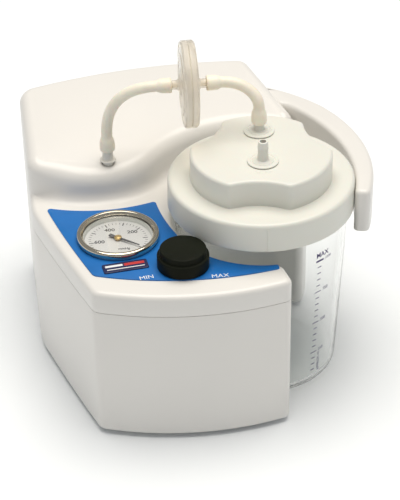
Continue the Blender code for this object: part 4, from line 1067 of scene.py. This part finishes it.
class PUMP_OT_panel(bpy.types.Operator):
    """Make the printed panel and its badge plate"""

    bl_idname = "pump.panel"
    bl_label = "Panel"
    bl_options = {"REGISTER", "UNDO"}

    def execute(self, context):
        settings(context)
        make_panel()
        return {"FINISHED"}


class PUMP_OT_gauge(bpy.types.Operator):
    """Make the vacuum gauge"""

    bl_idname = "pump.gauge"
    bl_label = "Gauge"
    bl_options = {"REGISTER", "UNDO"}

    def execute(self, context):
        settings(context)
        make_gauge()
        return {"FINISHED"}


class PUMP_OT_regulator(bpy.types.Operator):
    """Make the regulator's knob"""

    bl_idname = "pump.regulator"
    bl_label = "Regulator"
    bl_options = {"REGISTER", "UNDO"}

    def execute(self, context):
        settings(context)
        make_regulator()
        return {"FINISHED"}


class PUMP_OT_lid(bpy.types.Operator):
    """Make the jar's lid and its nipples"""

    bl_idname = "pump.lid"
    bl_label = "Lid"
    bl_options = {"REGISTER", "UNDO"}

    def execute(self, context):
        settings(context)
        make_lid()
        return {"FINISHED"}


class PUMP_OT_jar(bpy.types.Operator):
    """Make the jar and its printed scale"""

    bl_idname = "pump.jar"
    bl_label = "Jar"
    bl_options = {"REGISTER", "UNDO"}

    def execute(self, context):
        settings(context)
        make_jar()
        return {"FINISHED"}


class PUMP_OT_back_wall(bpy.types.Operator):
    """Make the marks and pins on the back wall"""

    bl_idname = "pump.back_wall"
    bl_label = "Back wall"
    bl_options = {"REGISTER", "UNDO"}

    def execute(self, context):
        settings(context)
        make_back_wall()
        return {"FINISHED"}


class PUMP_OT_works(bpy.types.Operator):
    """Give the working parts their finishes"""

    bl_idname = "pump.works"
    bl_label = "Works"
    bl_options = {"REGISTER", "UNDO"}

    def execute(self, context):
        settings(context)
        finish_works()
        return {"FINISHED"}


OPERATORS = (PUMP_OT_stage, PUMP_OT_hoses, PUMP_OT_casing, PUMP_OT_panel, PUMP_OT_gauge,
             PUMP_OT_regulator, PUMP_OT_lid, PUMP_OT_jar, PUMP_OT_back_wall, PUMP_OT_works)


class PUMP_PT_looks(bpy.types.Panel):
    """Lists the settings and every step of the pump's looks."""

    bl_label = "Suction Pump"
    bl_idname = "PUMP_PT_looks"
    bl_space_type = "VIEW_3D"
    bl_region_type = "UI"
    bl_category = "Suction Pump"

    def draw(self, context):
        for setting in PumpLooks.__annotations__:
            self.layout.prop(context.scene.pump_looks, setting)
        for made in OPERATORS:
            self.layout.operator(made.bl_idname)


CLASSES = (PumpLooks, *OPERATORS, PUMP_PT_looks)


def register():
    """Adds the classes and the settings to Blender."""
    for made in CLASSES:
        bpy.utils.register_class(made)
    bpy.types.Scene.pump_looks = PointerProperty(type=PumpLooks)


def unregister():
    """Takes the settings and the classes out again."""
    del bpy.types.Scene.pump_looks
    for made in reversed(CLASSES):
        bpy.utils.unregister_class(made)


def main():
    """Makes every piece in order."""
    for found in [o for o in bpy.data.objects if o.name in ("Cube", "Light", "Camera")]:
        bpy.data.objects.remove(found)
    register()
    for made in OPERATORS:
        getattr(bpy.ops.pump, made.bl_idname.split(".")[1])()


if __name__ == "__main__":
    main()
